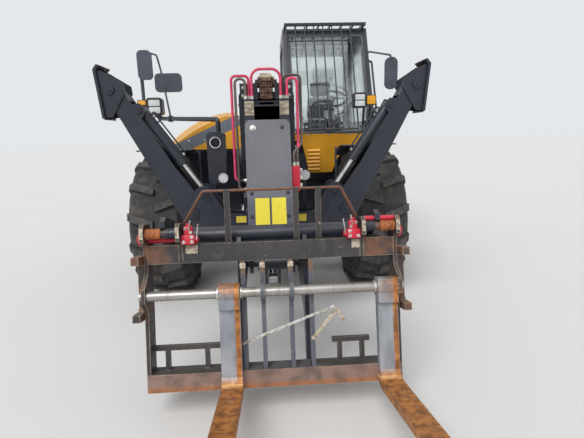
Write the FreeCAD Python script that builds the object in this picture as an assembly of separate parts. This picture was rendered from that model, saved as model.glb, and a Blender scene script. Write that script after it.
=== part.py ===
import FreeCAD, Part
import math
import os

os.makedirs("parts", exist_ok=True)

# Sizes in millimetres. X runs across the machine, its left side at +X, Y to the rear, Z up.
# The front axle lies at Y 0 while the pieces are made, and the floor at Z 0.

# Wheels and axles
wheelbase = 2750
track = 1890
tyre_diameter = 1260
tyre_width = 460
tyre_facets = 28
tread_width = 360
sidewall_radius = 470
lug_height = 34
lug_width = 62
lug_skew = 76
lug_root = 110
lug_shoulder_drop = 52
lugs_per_side = 14
rim_diameter = 640
rim_width = 370
rim_wall = 14
rim_dish = 110
hub_diameter = 260
hub_cap_diameter = 190
kingpin_x = track / 2 - 245
kingpin_diameter = 60
knuckle_half_height = 150
yoke_plate = 34
axle_tube_diameter = 150
axle_ball_diameter = 330
mudguard_radius = tyre_diameter / 2 + 42
mudguard_width = 510
mudguard_thickness = 8
mudguard_arc = {"front": (-33, 37), "rear": (-50, 100)}
guard_stay_y = 165
running_gap = 0.3

# Chassis
frame_half_width = 205
frame_plate = 25
frame_bottom = 560
frame_top = 960
frame_rear = 3180
tower_front = 2620
tower_top = 1735
tail_rear = 3640
tail_half_width = 560
tail_thickness = 170
hitch_jaw_low = 640
hitch_jaw_high = 760
hitch_jaw_plate = 26
hitch_jaw_half_width = 65
tow_pin_hole = 32
tow_pin_back = 38
outrigger_height = 120
outrigger_width = 140

# Boom, its pivot at the rear of the chassis
boom_pivot_y = 2900
boom_pivot_z = 1620
boom_slope = 2.0
boom_head_y = -950
boom_pin_diameter = 90
outer_half_width = 160
outer_half_height = 200
mid_half_width = 138
mid_half_height = 170
inner_half_width = 116
inner_half_height = 142
boom_wall = 10
boom_tail = 170
collar_length = 130
collar_lip = 32
mid_reach = 75
inner_reach = 70
boom_overlap = 620
bracket_depth = 62
bracket_clearance = 9
bracket_height = 106
bracket_reach = 178
bracket_cheek = 14
roller_half_width = 58
roller_diameter = 74
roller_pin_diameter = 30
roller_rise = 60
chain_width = 84
chain_plate = 20
chain_pitch = 38
chain_run = 520

# Nose of the inner boom section and the tilt linkage
nose_plate = 22
hitch_pin_y = -1290
hitch_pin_z = 590
hitch_pin_diameter = 56
tilt_pin_y = -1065
tilt_pin_z = 1255
tilt_pin_diameter = 40
tilt_lever_radius = 190
tilt_lever_angle = -50.0
tilt_barrel_diameter = 92
tilt_rod_diameter = 46
tilt_barrel_length = 455
tilt_rod_length = 405
cover_thickness = 6
cover_half_width = 150
cover_corner = 26
cover_top_z = 1525
cover_bottom_z = 715

# Blocks on the nose and the hoses that run from them
head_block_x = (84, 148)
head_block_y = -1094
head_block_depth = 44
head_block_top = 1660
hose_diameter = 18
hose_bend = 30
hose_loop_top = 1850
side_hose_top = 1790
side_hose_x = (205, 230)
side_hose_low = 1062
valve_block_y = (-1176, -1106)
valve_block_z = (1050, 1215)
valve_block_depth = 56

# Lift cylinder between chassis and boom
lift_foot_y = 2430
lift_foot_z = 760
lift_eye_y = 900
lift_eye_z = 1290
lift_barrel_diameter = 150
lift_rod_diameter = 88
lift_barrel_length = 1400
lift_rod_length = 1450
lift_pin_diameter = 60

# Fork frame, laid back about the bright shaft that carries the forks
shaft_y = -1980
shaft_z = 655
shaft_diameter = 50
frame_tilt = 12.0
fork_frame_half_width = 650
ear_plate = 20
inner_ear_x = 465
ear_top = 360
hook_pin_height = 310
hook_pin_diameter = 40
top_beam_low = 155
top_beam_high = 250
beam_front = 40
beam_back = 150
lower_beam_low = -490
lower_beam_high = -400
lower_rail_z = -300
lower_rail_size = 26
lower_rails = ((-630, -290), (300, 500))
upright_centres = (-155, -55, 90, 195)
upright_plate = 22
outer_hook_width = 36
guard_posts = (-224, 130, 246)
guard_post_width = 30
guard_post_plate = 8
fork_centres = (-222, 574)
fork_head_high = 46
fork_head_low = -78
fork_head_step = 20
fork_width = 104
fork_thickness = 44
fork_length = 1070
fork_heel = -510
fork_eye_diameter = 100
guard_rod_diameter = 14

# Stabilisers, drawn raised
leg_pivot_x = 555
leg_pivot_z = 880
leg_pivot_diameter = 60
leg_elevation = 60.0
leg_length = 1005
leg_front = -945
leg_rear = -795
leg_plate = 12
leg_low_side = -100
leg_high_side = 98
leg_tip_high_side = 66
leg_tip_radius = 56
leg_eye_along = leg_length - 205
leg_eye_off = 82
prop_foot_x = 474
prop_foot_z = 1020
prop_barrel_diameter = 88
prop_rod_diameter = 44
prop_barrel_short = 252
prop_rod_short = 222
prop_pin_diameter = 36
pad_low = -192
pad_high = 142
pad_lip = 30
pad_width = 215
pad_plate = 18
pad_offset = 80
pad_lean = 5.5
cheek_plate = 12
cheek_nose = 98
stay_plate = 14
stay_inner_x = 170
stay_outer_x = 337
stay_reach = 640
stay_low = 590
stay_high = 975
frame_front = leg_rear + running_gap + stay_plate

# Cab
cab_inner_x = 205
cab_outer_x = track / 2 + 200
cab_wall = 40
cab_rear = 1960
cab_floor = 900
cab_step_y = 812
cab_step_z = 1190
cab_nose_y = 590
sill_y = 495
sill_z = 1410
brow_y = 1000
roof_z = 2560
screen_left = 284
screen_right = cab_outer_x - 57
screen_low = 1434
screen_high = roof_z - 90
glass_thickness = 6
glass_gap = 0.3
door_thickness = 36
door_front_low_y = 860
door_rear_y = 1900
door_low = 960
door_hinge_x = cab_outer_x + 10
door_hinge_y = door_rear_y + 4
door_hinge_z = (1080, 1420)
door_hinge_half = 30
door_hinge_knuckle = 20
door_hinge_pin = 8
door_hinge_tube = 18
footwell_right = 700
footwell_low = 1035
panel_low = 1004
panel_high = 1422
panel_top_y = 476
panel_plate = 5
wheel_radius = 190
wheel_grip = 15
wheel_lean = 30
guard_bar = 14
guard_low_z = 1450
guard_right = 950
guard_offset = 70
guard_rows = (guard_low_z + 8, roof_z - 154, roof_z - 41)
roof_guard_height = 44
roof_guard_rail = 30

# Lamps
lamp_pod_x = -388
lamp_pod_top = 1456
lamp_pod_half_width = 68
lamp_pod_height = 385
lamp_tube_diameter = 36
mirror_post_x = -1075
mirror_post_diameter = 30
work_lamp_diameter = 76
work_lamp_front = -842
work_lamp_right = (-341, 1118)
work_lamp_left = (269, 1121)
right_lamp_x = -986
right_lamp_y = -100
right_lamp_z = 1692
left_lamp_x = 948
left_lamp_y = 380
left_lamp_z = 1740
lamp_shelf_z = 1470

# Engine side
pod_outer_x = track / 2 + 140
pod_inner_x = 330
pod_front = 812
pod_rear = 1930
pod_low = 520
pod_high = 1290
pod_wall = 6
pod_floor = 90
bonnet_front = 400
bonnet_rear = 2040
bonnet_crest_z = 1664
bonnet_crest_x = 430
bonnet_facets = 9
bonnet_skin = 6
bonnet_clearance = 0.3
bonnet_hinge_y = 2056
bonnet_hinge_z = 1322
bonnet_hinge_pin = 12
bonnet_hinge_x = (-900, -460)
louvre_count = 6
louvre_pitch = 40
louvre_low = 1036
louvre_x = (420, 550)
louvre_depth = 14
louvre_rise = 24

front_reach = 3140
rear_reach = 3730
front_axle_y = (front_reach - rear_reach) / 2


def vec(x, y, z):
    return FreeCAD.Vector(x, y, z)


def block(x0, x1, y0, y1, z0, z1):
    return Part.makeBox(x1 - x0, y1 - y0, z1 - z0, vec(x0, y0, z0))


def side_plate(outline, x0, x1):
    points = [vec(x0, y, z) for y, z in outline]
    return Part.Face(Part.makePolygon(points + points[:1])).extrude(vec(x1 - x0, 0, 0))


def front_plate(outline, y0, y1):
    points = [vec(x, y0, z) for x, z in outline]
    return Part.Face(Part.makePolygon(points + points[:1])).extrude(vec(0, y1 - y0, 0))


def rod(start, end, diameter):
    line = end - start
    return Part.makeCylinder(diameter / 2, line.Length, start, line)


def x_rod(y, z, x0, x1, diameter):
    return rod(vec(x0, y, z), vec(x1, y, z), diameter)


def y_rod(x, z, y0, y1, diameter):
    return rod(vec(x, y0, z), vec(x, y1, z), diameter)


def z_rod(x, y, z0, z1, diameter):
    return rod(vec(x, y, z0), vec(x, y, z1), diameter)


def fused(shapes):
    whole = shapes[0]
    if len(shapes) > 1:
        whole = whole.fuse(shapes[1:]).removeSplitter()
    return whole


def mirrored(shape):
    return shape.mirror(vec(0, 0, 0), vec(1, 0, 0))


def rounded(shape, direction, radius):
    # rounds the edges of a prism that run along one direction
    edges = []
    for edge in shape.Edges:
        if len(edge.Vertexes) == 2:
            line = edge.Vertexes[1].Point - edge.Vertexes[0].Point
            if abs(abs(line.normalize().dot(direction)) - 1) < 1e-6:
                edges.append(edge)
    return shape.makeFillet(radius, edges)


def bent_tube(points, diameter, bend):
    # a round bar along a line of points with rounded corners
    edges = []
    start = points[0]
    for corner, after in zip(points[1:-1], points[2:]):
        back = (start - corner).normalize()
        ahead = (after - corner).normalize()
        half_turn = math.acos(max(-1.0, min(1.0, back.dot(ahead)))) / 2
        cut = bend / math.tan(half_turn)
        first, last = corner + back * cut, corner + ahead * cut
        centre = corner + (back + ahead).normalize() * (bend / math.sin(half_turn))
        middle = centre + (corner - centre).normalize() * bend
        edges.append(Part.LineSegment(start, first).toShape())
        edges.append(Part.Arc(first, middle, last).toShape())
        start = last
    edges.append(Part.LineSegment(start, points[-1]).toShape())
    heading = (points[1] - points[0]).normalize()
    ring = Part.Wire(Part.makeCircle(diameter / 2, points[0], heading))
    return Part.Wire(edges).makePipeShell([ring], True, False)


# Wheels

def tyre_ring(x, radius):
    corners = []
    for step in range(tyre_facets + 1):
        turn = 2 * math.pi * (step + 0.5) / tyre_facets
        corners.append(vec(x, radius * math.sin(turn), radius * math.cos(turn)))
    return Part.makePolygon(corners)


def tyre_lug(side, angle):
    # a slanted bar from the middle of the tread, falling away past the shoulder
    low, top = tyre_diameter / 2 - lug_height - lug_root, tyre_diameter / 2
    inner, shoulder, outer = 8, tread_width / 2, tyre_width / 2 - 6
    rings = []
    for x, height in ((inner, top), (shoulder, top), (outer, top - lug_shoulder_drop)):
        middle = lug_skew * ((x - inner) / float(outer - inner) - 0.5)
        y0, y1 = middle - lug_width / 2, middle + lug_width / 2
        corners = [vec(side * x, y0, low), vec(side * x, y1, low), vec(side * x, y1, height),
                   vec(side * x, y0, height)]
        rings.append(Part.makePolygon(corners + corners[:1]))
    bar = Part.makeLoft(rings, True, True)
    bar.rotate(vec(0, 0, 0), vec(1, 0, 0), angle)
    return bar


def tyre():
    crown = (tyre_diameter / 2 - lug_height) / math.cos(math.pi / tyre_facets)
    half, tread = tyre_width / 2, tread_width / 2
    bead = rim_width / 2 - rim_wall
    side = [(bead, rim_diameter / 2 + 22), (half, sidewall_radius), (half - 12, crown - 48), (tread, crown)]
    stations = [(-x, r) for x, r in side] + [(x, r) for x, r in reversed(side)]
    carcass = Part.makeLoft([tyre_ring(x, r) for x, r in stations], True, True)
    pitch = 360.0 / lugs_per_side
    lugs = [tyre_lug(1, pitch * n) for n in range(lugs_per_side)]
    lugs += [tyre_lug(-1, pitch * (n + 0.5)) for n in range(lugs_per_side)]
    seat = (rim_diameter / 2 + running_gap) / math.cos(math.pi / tyre_facets)
    bore = Part.makeLoft([tyre_ring(-half, seat), tyre_ring(half, seat)], True, True)
    return carcass.fuse(lugs).cut(bore)


def rim():
    # the dish opens to the outer side and carries a planet hub
    edge, radius = rim_width / 2, rim_diameter / 2
    face = edge - rim_dish
    profile = [(-edge, 0), (-edge, radius), (edge, radius), (edge, radius - rim_wall),
               (face, radius - rim_wall - 40), (face, hub_cap_diameter / 2),
               (edge - 26, hub_cap_diameter / 2), (edge - 26, 0)]
    points = [vec(x, 0, r) for x, r in profile]
    disc = Part.Face(Part.makePolygon(points + points[:1])).revolve(vec(0, 0, 0), vec(1, 0, 0), 360)
    well = rod(vec(-edge, 0, 0), vec(face - 22, 0, 0), 2 * (radius - rim_wall))
    return disc.cut(well)


def place_wheel(shape, side, y):
    placed = shape.copy() if side > 0 else mirrored(shape)
    placed.translate(vec(side * track / 2, y, tyre_diameter / 2))
    return placed


def knuckle(side, y):
    # hub and swivel between the wheel and the yoke of the axle
    z = tyre_diameter / 2
    hub_end = track / 2 + rim_width / 2 - rim_dish - 22 - running_gap
    inner = kingpin_x - 55
    hub = x_rod(y, z, inner, hub_end, 2 * knuckle_half_height * 0.8)
    ears = []
    for up in (1, -1):
        far = z + up * knuckle_half_height
        top = z + up * (knuckle_half_height + yoke_plate * 0.2)
        low, high = min(z, far), max(z, far)
        ears.append(Part.makeCylinder(58, high - low, vec(kingpin_x, y, low)))
        ears.append(Part.makeCylinder(kingpin_diameter / 2, abs(top - z) + yoke_plate * 0.8,
                                      vec(kingpin_x, y, z), vec(0, 0, up)))
    bracket = block(inner + 5, inner + 45, y + 60, y + guard_stay_y + 22, z - 30, z + 10)
    whole = fused([hub, bracket] + ears)
    return whole if side > 0 else mirrored(whole)


def axle(y):
    z = tyre_diameter / 2
    tube_end = kingpin_x - 175
    parts = [x_rod(y, z, -tube_end, tube_end, axle_tube_diameter),
             rod(vec(-120, y, z), vec(120, y, z), axle_ball_diameter)]
    for side in (1, -1):
        near, far = side * (kingpin_x - 205), side * (kingpin_x - 135)
        web = block(min(near, far), max(near, far), y - 80, y + 80,
                    z - knuckle_half_height - yoke_plate, z + knuckle_half_height + yoke_plate)
        parts.append(web)
        for up in (1, -1):
            base = z + up * (knuckle_half_height + running_gap)
            tip = z + up * (knuckle_half_height + yoke_plate)
            low, high = min(base, tip), max(base, tip)
            inner, outer = sorted((near, side * kingpin_x))
            fork = block(inner, outer, y - 62, y + 62, low, high)
            parts.append(fork)
            parts.append(Part.makeCylinder(62, high - low, vec(side * kingpin_x, y, low)))
    whole = fused(parts)
    pins = [Part.makeCylinder(kingpin_diameter / 2 + running_gap, 4 * knuckle_half_height,
                              vec(side * kingpin_x, y, z - 2 * knuckle_half_height)) for side in (1, -1)]
    return whole.cut(pins)


def mudguard(side, y, start, sweep):
    # a curved sheet over the tyre that turns with the knuckle on its own arm
    z = tyre_diameter / 2
    inner_x = track / 2 - mudguard_width / 2
    outer_r = mudguard_radius + mudguard_thickness
    corners = [vec(inner_x, y, z + mudguard_radius), vec(inner_x + mudguard_width, y, z + mudguard_radius),
               vec(inner_x + mudguard_width, y, z + outer_r), vec(inner_x, y, z + outer_r)]
    section = Part.Face(Part.makePolygon(corners + corners[:1]))
    section.rotate(vec(0, y, z), vec(1, 0, 0), start)
    sheet = section.revolve(vec(0, y, z), vec(1, 0, 0), sweep)
    under = z + math.sqrt(mudguard_radius ** 2 - guard_stay_y ** 2)
    stay_x, stay_y = kingpin_x - 46, y + guard_stay_y
    stay = block(stay_x, stay_x + 16, stay_y - 16, stay_y + 16, z + 10, under + 4)
    shelf = block(stay_x, inner_x + 40, stay_y - 16, stay_y + 16, under - 8, under + 4)
    whole = fused([sheet, shelf, stay])
    return whole if side > 0 else mirrored(whole)


# Chassis

def chassis_frame():
    half, inner = frame_half_width, frame_half_width - frame_plate
    outline = [(frame_front, frame_bottom + 40), (frame_front + 60, frame_bottom),
               (frame_rear, frame_bottom), (frame_rear, tower_top - 160), (boom_pivot_y + 110, tower_top),
               (boom_pivot_y - 110, tower_top), (tower_front, frame_top + 180),
               (tower_front - 240, frame_top), (frame_front, frame_top)]
    parts = [side_plate(outline, inner, half), side_plate(outline, -half, -inner)]
    parts.append(block(-inner, inner, frame_front + 60, lift_foot_y - 420, frame_bottom, frame_bottom + 16))
    for y in (frame_front + 70, 560, 1450, frame_rear - 40):
        parts.append(block(-inner, inner, y, y + 20, frame_bottom, frame_bottom + 210))
    for side in (1, -1):
        for y in (1000, 1700):
            near, far = sorted((side * half, side * pod_inner_x))
            parts.append(block(near, far, y - outrigger_width / 2, y + outrigger_width / 2,
                               frame_bottom + 60, frame_bottom + 60 + outrigger_height))
    whole = fused(parts)
    whole = whole.cut(x_rod(boom_pivot_y, boom_pivot_z, -half, half, boom_pin_diameter + 2 * running_gap))
    for y in (0, wheelbase):
        z = tyre_diameter / 2
        whole = whole.cut(x_rod(y, z, -half, half, axle_tube_diameter + 2 * running_gap))
        whole = whole.cut(x_rod(y, z, -inner + 8, inner - 8, axle_ball_diameter + 30))
    lift_pin = x_rod(lift_foot_y, lift_foot_z, -inner, inner, lift_pin_diameter)
    return whole.fuse(lift_pin).removeSplitter()


def tail_weight():
    half = frame_half_width
    neck = block(-half, half, frame_rear, tail_rear - tail_thickness, frame_bottom, frame_top + 60)
    bar = front_plate([(-tail_half_width, frame_bottom + 60), (-tail_half_width + 60, frame_bottom),
                       (tail_half_width - 60, frame_bottom), (tail_half_width, frame_bottom + 60),
                       (tail_half_width, frame_top), (half + 40, frame_top + 120),
                       (-half - 40, frame_top + 120), (-tail_half_width, frame_top)],
                      tail_rear - tail_thickness, tail_rear)
    jaw = []
    for z in (hitch_jaw_low, hitch_jaw_high - hitch_jaw_plate):
        jaw.append(block(-hitch_jaw_half_width, hitch_jaw_half_width, tail_rear, rear_reach, z,
                         z + hitch_jaw_plate))
    hole = Part.makeCylinder(tow_pin_hole / 2, 300, vec(0, rear_reach - tow_pin_back, hitch_jaw_low - 50))
    return fused([neck, bar] + jaw).cut(hole)


# Boom

def boom_place(shape):
    shape.rotate(vec(0, 0, 0), vec(1, 0, 0), boom_slope)
    shape.translate(vec(0, boom_pivot_y, boom_pivot_z))
    return shape


def boom_tube(half_width, half_height, front, rear, wall):
    outer = block(-half_width, half_width, front, rear, -half_height, half_height)
    outer = rounded(outer, vec(0, 1, 0), 24)
    hole = block(-half_width + wall, half_width - wall, front, rear, -half_height + wall,
                 half_height - wall)
    return outer.cut(rounded(hole, vec(0, 1, 0), 14))


boom_length = (boom_pivot_y - boom_head_y) / math.cos(math.radians(boom_slope))


def boom_point(y, z):
    # machine place of a point given along and above the boom's own axis
    turn = math.radians(boom_slope)
    return (boom_pivot_y + y * math.cos(turn) - z * math.sin(turn),
            boom_pivot_z + y * math.sin(turn) + z * math.cos(turn))


def boom_own(y, z):
    # the boom's own place of a point of the machine
    turn = math.radians(boom_slope)
    dy, dz = y - boom_pivot_y, z - boom_pivot_z
    return (dy * math.cos(turn) + dz * math.sin(turn), -dy * math.sin(turn) + dz * math.cos(turn))


def boom_outer():
    w, h = outer_half_width, outer_half_height
    tube = boom_tube(w, h, -boom_length, boom_tail, boom_wall)
    collar = block(-w - collar_lip, w + collar_lip, -boom_length, -boom_length + collar_length,
                   -h - collar_lip, h + collar_lip)
    collar = rounded(collar, vec(0, 1, 0), 30)
    collar = collar.cut(block(-w + 1, w - 1, -boom_length, -boom_length + collar_length, -h + 1, h - 1))
    boss = rod(vec(-w, 0, 0), vec(w, 0, 0), boom_pin_diameter + 70)
    eye_y, eye_z = boom_own(lift_eye_y, lift_eye_z)
    cheeks = []
    for x in (66, -82):
        cheeks.append(side_plate([(eye_y - 170, -h + 2), (eye_y - 52, eye_z - 48), (eye_y + 52, eye_z - 48),
                                  (eye_y + 170, -h + 2)], x, x + 16))
    pads = wear_pads(mid_half_width + running_gap, mid_half_height + running_gap,
                     w - boom_wall - mid_half_width,
                     h - boom_wall - mid_half_height, -boom_length + 8, -boom_length + 120)
    inside = boom_wall - 1
    tail = block(-w + inside, w - inside, boom_tail - 14, boom_tail - 4, -h + inside, h - inside)
    whole = fused([tube, collar, boss, tail] + pads + cheeks)
    whole = whole.cut(rod(vec(-w, 0, 0), vec(w, 0, 0), boom_pin_diameter))
    pin = rod(vec(-frame_half_width - 12, 0, 0), vec(frame_half_width + 12, 0, 0), boom_pin_diameter)
    return boom_place(whole.fuse([pin] + chain_brackets()).removeSplitter())


def chain_brackets():
    # two blocks with cheeks on the front of the collar that carry the chain's roller, and the anchor behind
    front = -boom_length - bracket_depth
    low = mid_half_height + bracket_clearance
    axis_z = outer_half_height + collar_lip + roller_rise
    parts = []
    for side in (1, -1):
        x0, x1 = sorted((side * roller_half_width, side * bracket_reach))
        parts.append(block(x0, x1, front, -boom_length + 20, low, low + bracket_height))
        x0, x1 = sorted((side * roller_half_width, side * (roller_half_width + bracket_cheek)))
        parts.append(block(x0, x1, front, -boom_length + 20, low, axis_z + 16))
    hole = rod(vec(-bracket_reach, front + roller_diameter / 2 - 6, axis_z),
               vec(bracket_reach, front + roller_diameter / 2 - 6, axis_z), roller_pin_diameter)
    y = -boom_length + chain_run
    parts = [part.cut(hole) for part in parts]
    parts.append(block(-chain_width / 2 - 14, chain_width / 2 + 14, y, y + 60, outer_half_height - 1,
                       axis_z + roller_diameter / 2 + chain_plate + 8))
    return parts


def boom_chain():
    # leaf chain from its anchor on the boom over the roller and down in front of the collar
    front = -boom_length - bracket_depth
    axis_y, axis_z = front + roller_diameter / 2 - 6, outer_half_height + collar_lip + roller_rise
    g, r, w = running_gap, roller_diameter / 2, chain_width / 2
    parts = [rod(vec(-roller_half_width + g, axis_y, axis_z), vec(roller_half_width - g, axis_y, axis_z),
                 2 * r),
             rod(vec(-roller_half_width - bracket_cheek, axis_y, axis_z),
                 vec(roller_half_width + bracket_cheek, axis_y, axis_z), roller_pin_diameter - 2 * g)]
    rear, low = -boom_length + chain_run - g, mid_half_height + bracket_clearance
    core, leaf = chain_plate / 2, chain_plate
    parts.append(block(-w + 12, w - 12, axis_y, rear, axis_z + r - 2, axis_z + r + core))
    parts.append(block(-w + 12, w - 12, axis_y - r - core, axis_y - r + 2, low, axis_z))
    count = int((rear - axis_y) / chain_pitch)
    for n in range(count):
        y, half = rear - (n + 1) * chain_pitch, w - 9 * (n % 2)
        parts.append(block(-half, half, y + 3, y + chain_pitch - 3, axis_z + r - 1, axis_z + r + leaf))
    for n in range(int((axis_z - low) / chain_pitch)):
        z, half = low + n * chain_pitch, w - 9 * (n % 2)
        parts.append(block(-half, half, axis_y - r - leaf, axis_y - r + 1, z + 3, z + chain_pitch - 3))
    for n in range(1, 4):
        link = block(-w + 9 * (n % 2), w - 9 * (n % 2), -chain_pitch / 2 + 3, chain_pitch / 2 - 3, r - 4,
                     r + leaf)
        link.rotate(vec(0, 0, 0), vec(1, 0, 0), 22.5 * n + 0.5)
        link.translate(vec(0, axis_y, axis_z))
        parts.append(link)
    return boom_place(fused(parts))


def wear_pads(half_width, half_height, gap_x, gap_z, y0, y1):
    # pads between two sections, a running gap short of the one that slides
    pads = []
    for side in (1, -1):
        x0, x1 = sorted((side * half_width, side * (half_width + gap_x)))
        pads.append(block(x0, x1, y0, y1, -80, 80))
        z0, z1 = sorted((side * half_height, side * (half_height + gap_z)))
        for x in (-half_width + 22, half_width - 68):
            pads.append(block(x, x + 46, y0, y1, z0, z1))
    return pads


def boom_mid():
    front = -boom_length - mid_reach
    tube = boom_tube(mid_half_width, mid_half_height, front, -boom_overlap, boom_wall)
    g = running_gap
    head = wear_pads(inner_half_width + g, inner_half_height + g,
                     mid_half_width - boom_wall - inner_half_width,
                     mid_half_height - boom_wall - inner_half_height, front + 6, front + 110)
    tail = wear_pads(mid_half_width - 1, mid_half_height - 1,
                     outer_half_width - boom_wall - mid_half_width + 1 - g,
                     outer_half_height - boom_wall - mid_half_height + 1 - g, -boom_overlap - 140,
                     -boom_overlap - 20)
    return boom_place(fused([tube] + head + tail))


def cover_line(z):
    # front edge of the nose at a height, in the plane of its cover
    share = (cover_top_z - z) / (cover_top_z - hitch_pin_z)
    return -1100 + share * (hitch_pin_y - 62 + 1100)


def boom_inner():
    front = -boom_length - mid_reach - inner_reach
    rear = -boom_overlap - 150
    tube = boom_tube(inner_half_width, inner_half_height, front, rear, boom_wall)
    tail = wear_pads(inner_half_width - 1, inner_half_height - 1,
                     mid_half_width - boom_wall - inner_half_width + 1 - running_gap,
                     mid_half_height - boom_wall - inner_half_height + 1 - running_gap, rear - 140,
                     rear - 20)
    tube = boom_place(fused([tube] + tail))
    low, r = hitch_pin_z, 62
    nose_back = boom_point(-boom_length - mid_reach, 0)[0] - 12
    outline = [(nose_back, cover_top_z), (cover_line(cover_top_z), cover_top_z)]
    outline += [(cover_line(hitch_pin_z + 40), hitch_pin_z + 40), (hitch_pin_y - r, low - 20),
                (hitch_pin_y - 30, low - r), (hitch_pin_y + 30, low - r), (hitch_pin_y + r + 10, low + 30),
                (-1165, low + 330), (tilt_pin_y + 40, tilt_pin_z - 90), (nose_back, tilt_pin_z)]
    parts = [tube]
    outer = cover_half_width - 1
    for x in (outer - nose_plate, -outer):
        parts.append(side_plate(outline, x, x + nose_plate))
    parts.append(block(-outer, outer, cover_line(1500) + 4, cover_line(1500) + 20, 1395, 1500))
    for x in (-head_block_x[1], head_block_x[0]):
        parts.append(block(x, x + head_block_x[1] - head_block_x[0], head_block_y,
                           head_block_y + head_block_depth,
                           cover_top_z - 6, head_block_top))
    whole = fused(parts)
    whole = whole.cut(x_rod(hitch_pin_y, hitch_pin_z, -outer, outer, hitch_pin_diameter + 2 * running_gap))
    whole = whole.cut(x_rod(tilt_pin_y, tilt_pin_z, -outer + nose_plate, outer - nose_plate, 2 * 70))
    clear = side_plate([(tilt_pin_y - 75, tilt_pin_z - 300), (tilt_pin_y + 75, tilt_pin_z - 300),
                        (tilt_pin_y + 75, tilt_pin_z + 55), (tilt_pin_y - 75, tilt_pin_z + 55)],
                       -outer + nose_plate, outer - nose_plate)
    whole = whole.cut(clear)
    pin = x_rod(tilt_pin_y, tilt_pin_z, -outer, outer, tilt_pin_diameter)
    return whole.fuse(pin).removeSplitter()


def nose_cover():
    outline = [(cover_line(cover_top_z) - running_gap, cover_top_z),
               (cover_line(cover_bottom_z) - running_gap, cover_bottom_z),
               (cover_line(cover_bottom_z) - running_gap - cover_thickness, cover_bottom_z),
               (cover_line(cover_top_z) - running_gap - cover_thickness, cover_top_z)]
    sheet = side_plate(outline, -cover_half_width, cover_half_width)
    w, c, top = cover_half_width, cover_corner, cover_top_z
    face = front_plate([(-w, cover_bottom_z), (w, cover_bottom_z), (w, top - c), (w - c, top), (c - w, top),
                        (-w, top - c)], hitch_pin_y - 100, cover_line(top) + 100)
    return sheet.common(face)


def valve_block():
    x = cover_half_width - 1 + running_gap
    body = block(x, x + valve_block_depth, valve_block_y[0], valve_block_y[1], valve_block_z[0],
                 valve_block_z[1])
    caps = []
    middle = (valve_block_y[0] + valve_block_y[1]) / 2
    for n in range(3):
        z = valve_block_z[0] + 34 + 50 * n
        caps.append(rod(vec(x + valve_block_depth, middle, z), vec(x + valve_block_depth + 18, middle, z),
                        30))
    return fused([body] + caps)


def boom_hoses():
    # a loop over the head, and two hoses down each side of the nose
    top, g = head_block_top + running_gap, running_gap
    middle = head_block_y + head_block_depth / 2
    x0 = head_block_x[0] + hose_diameter / 2 + 3
    hoses = [bent_tube([vec(-x0, middle - 8, top), vec(-x0, middle - 8, hose_loop_top),
                        vec(x0, middle - 8, hose_loop_top), vec(x0, middle - 8, top)], hose_diameter,
                       2 * hose_bend)]
    for side in (1, -1):
        for n, reach in enumerate(side_hose_x):
            x = side * (head_block_x[1] - 10 - 22 * n)
            y = middle - 10 + 22 * n
            far, high = side * reach, side_hose_top + 22 * n
            if side > 0:
                reach_in = cover_half_width - 1 + g + valve_block_depth - 12 - 24 * n
                lane = (valve_block_y[0] + valve_block_y[1]) / 2 + 16 - 26 * n
                path = [vec(x, y, top), vec(x, y, high), vec(far, y, high),
                        vec(far, y, valve_block_z[1] + 150),
                        vec(reach_in, lane, valve_block_z[1] + 90),
                        vec(reach_in, lane, valve_block_z[1] + g)]
            else:
                end = cover_half_width - 1 + g
                low = side_hose_low + 60 * n
                path = [vec(x, y, top), vec(x, y, high), vec(far, y, high), vec(far, y - 30, low),
                        vec(-end, y - 30, low)]
            hoses.append(bent_tube(path, hose_diameter, hose_bend))
    return hoses


# Cylinders, each a barrel with an eye at its foot and a rod with an eye at its end

def barrel(foot, eye, diameter, length, rod_diameter, pin_diameter, eye_width):
    line = (eye - foot).normalize()
    start = foot + line * (pin_diameter * 0.5 + 8)
    tube = rod(start, foot + line * length, diameter)
    lug = rod(vec(foot.x - eye_width / 2, foot.y, foot.z), vec(foot.x + eye_width / 2, foot.y, foot.z),
              pin_diameter + 44)
    whole = fused([tube, lug])
    hole = rod(vec(foot.x - eye_width, foot.y, foot.z), vec(foot.x + eye_width, foot.y, foot.z),
               pin_diameter + 2 * running_gap)
    bore = rod(foot + line * (pin_diameter + 40), foot + line * (length + 1),
               rod_diameter + 2 * running_gap)
    return whole.cut(hole).cut(bore)


def ram(foot, eye, barrel_length, rod_diameter, pin_diameter, eye_width, reach_in, stub):
    line = (eye - foot).normalize()
    bar = rod(eye - line * reach_in, eye - line * (pin_diameter * 0.5), rod_diameter)
    lug = rod(vec(eye.x - eye_width / 2, eye.y, eye.z), vec(eye.x + eye_width / 2, eye.y, eye.z),
              pin_diameter + 40)
    pin = rod(vec(eye.x - stub, eye.y, eye.z), vec(eye.x + stub, eye.y, eye.z), pin_diameter)
    return fused([bar, lug, pin])


lift_foot = vec(0, lift_foot_y, lift_foot_z)
lift_eye = vec(0, lift_eye_y, lift_eye_z)
tilt_foot = vec(0, tilt_pin_y, tilt_pin_z)
lever_turn = math.radians(tilt_lever_angle)
tilt_eye = vec(0, hitch_pin_y + tilt_lever_radius * math.cos(lever_turn),
               hitch_pin_z + tilt_lever_radius * math.sin(lever_turn))


# Fork frame in its own upright place, the shaft at the origin

def fork_place(shape):
    shape.rotate(vec(0, 0, 0), vec(1, 0, 0), -frame_tilt)
    shape.translate(vec(0, shaft_y, shaft_z))
    return shape


def fork_own(y, z):
    turn = math.radians(frame_tilt)
    dy, dz = y - shaft_y, z - shaft_z
    return (dy * math.cos(turn) - dz * math.sin(turn), dy * math.sin(turn) + dz * math.cos(turn))


# open hook outside each end of the frame, as (y, z) about the shaft
outer_hook = [(-60, 200), (60, 204), (96, 160), (96, -90), (66, -120), (-60, -116), (-60, -80), (34, -80),
              (52, -58),
              (52, 130), (34, 156), (-60, 160)]


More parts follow.
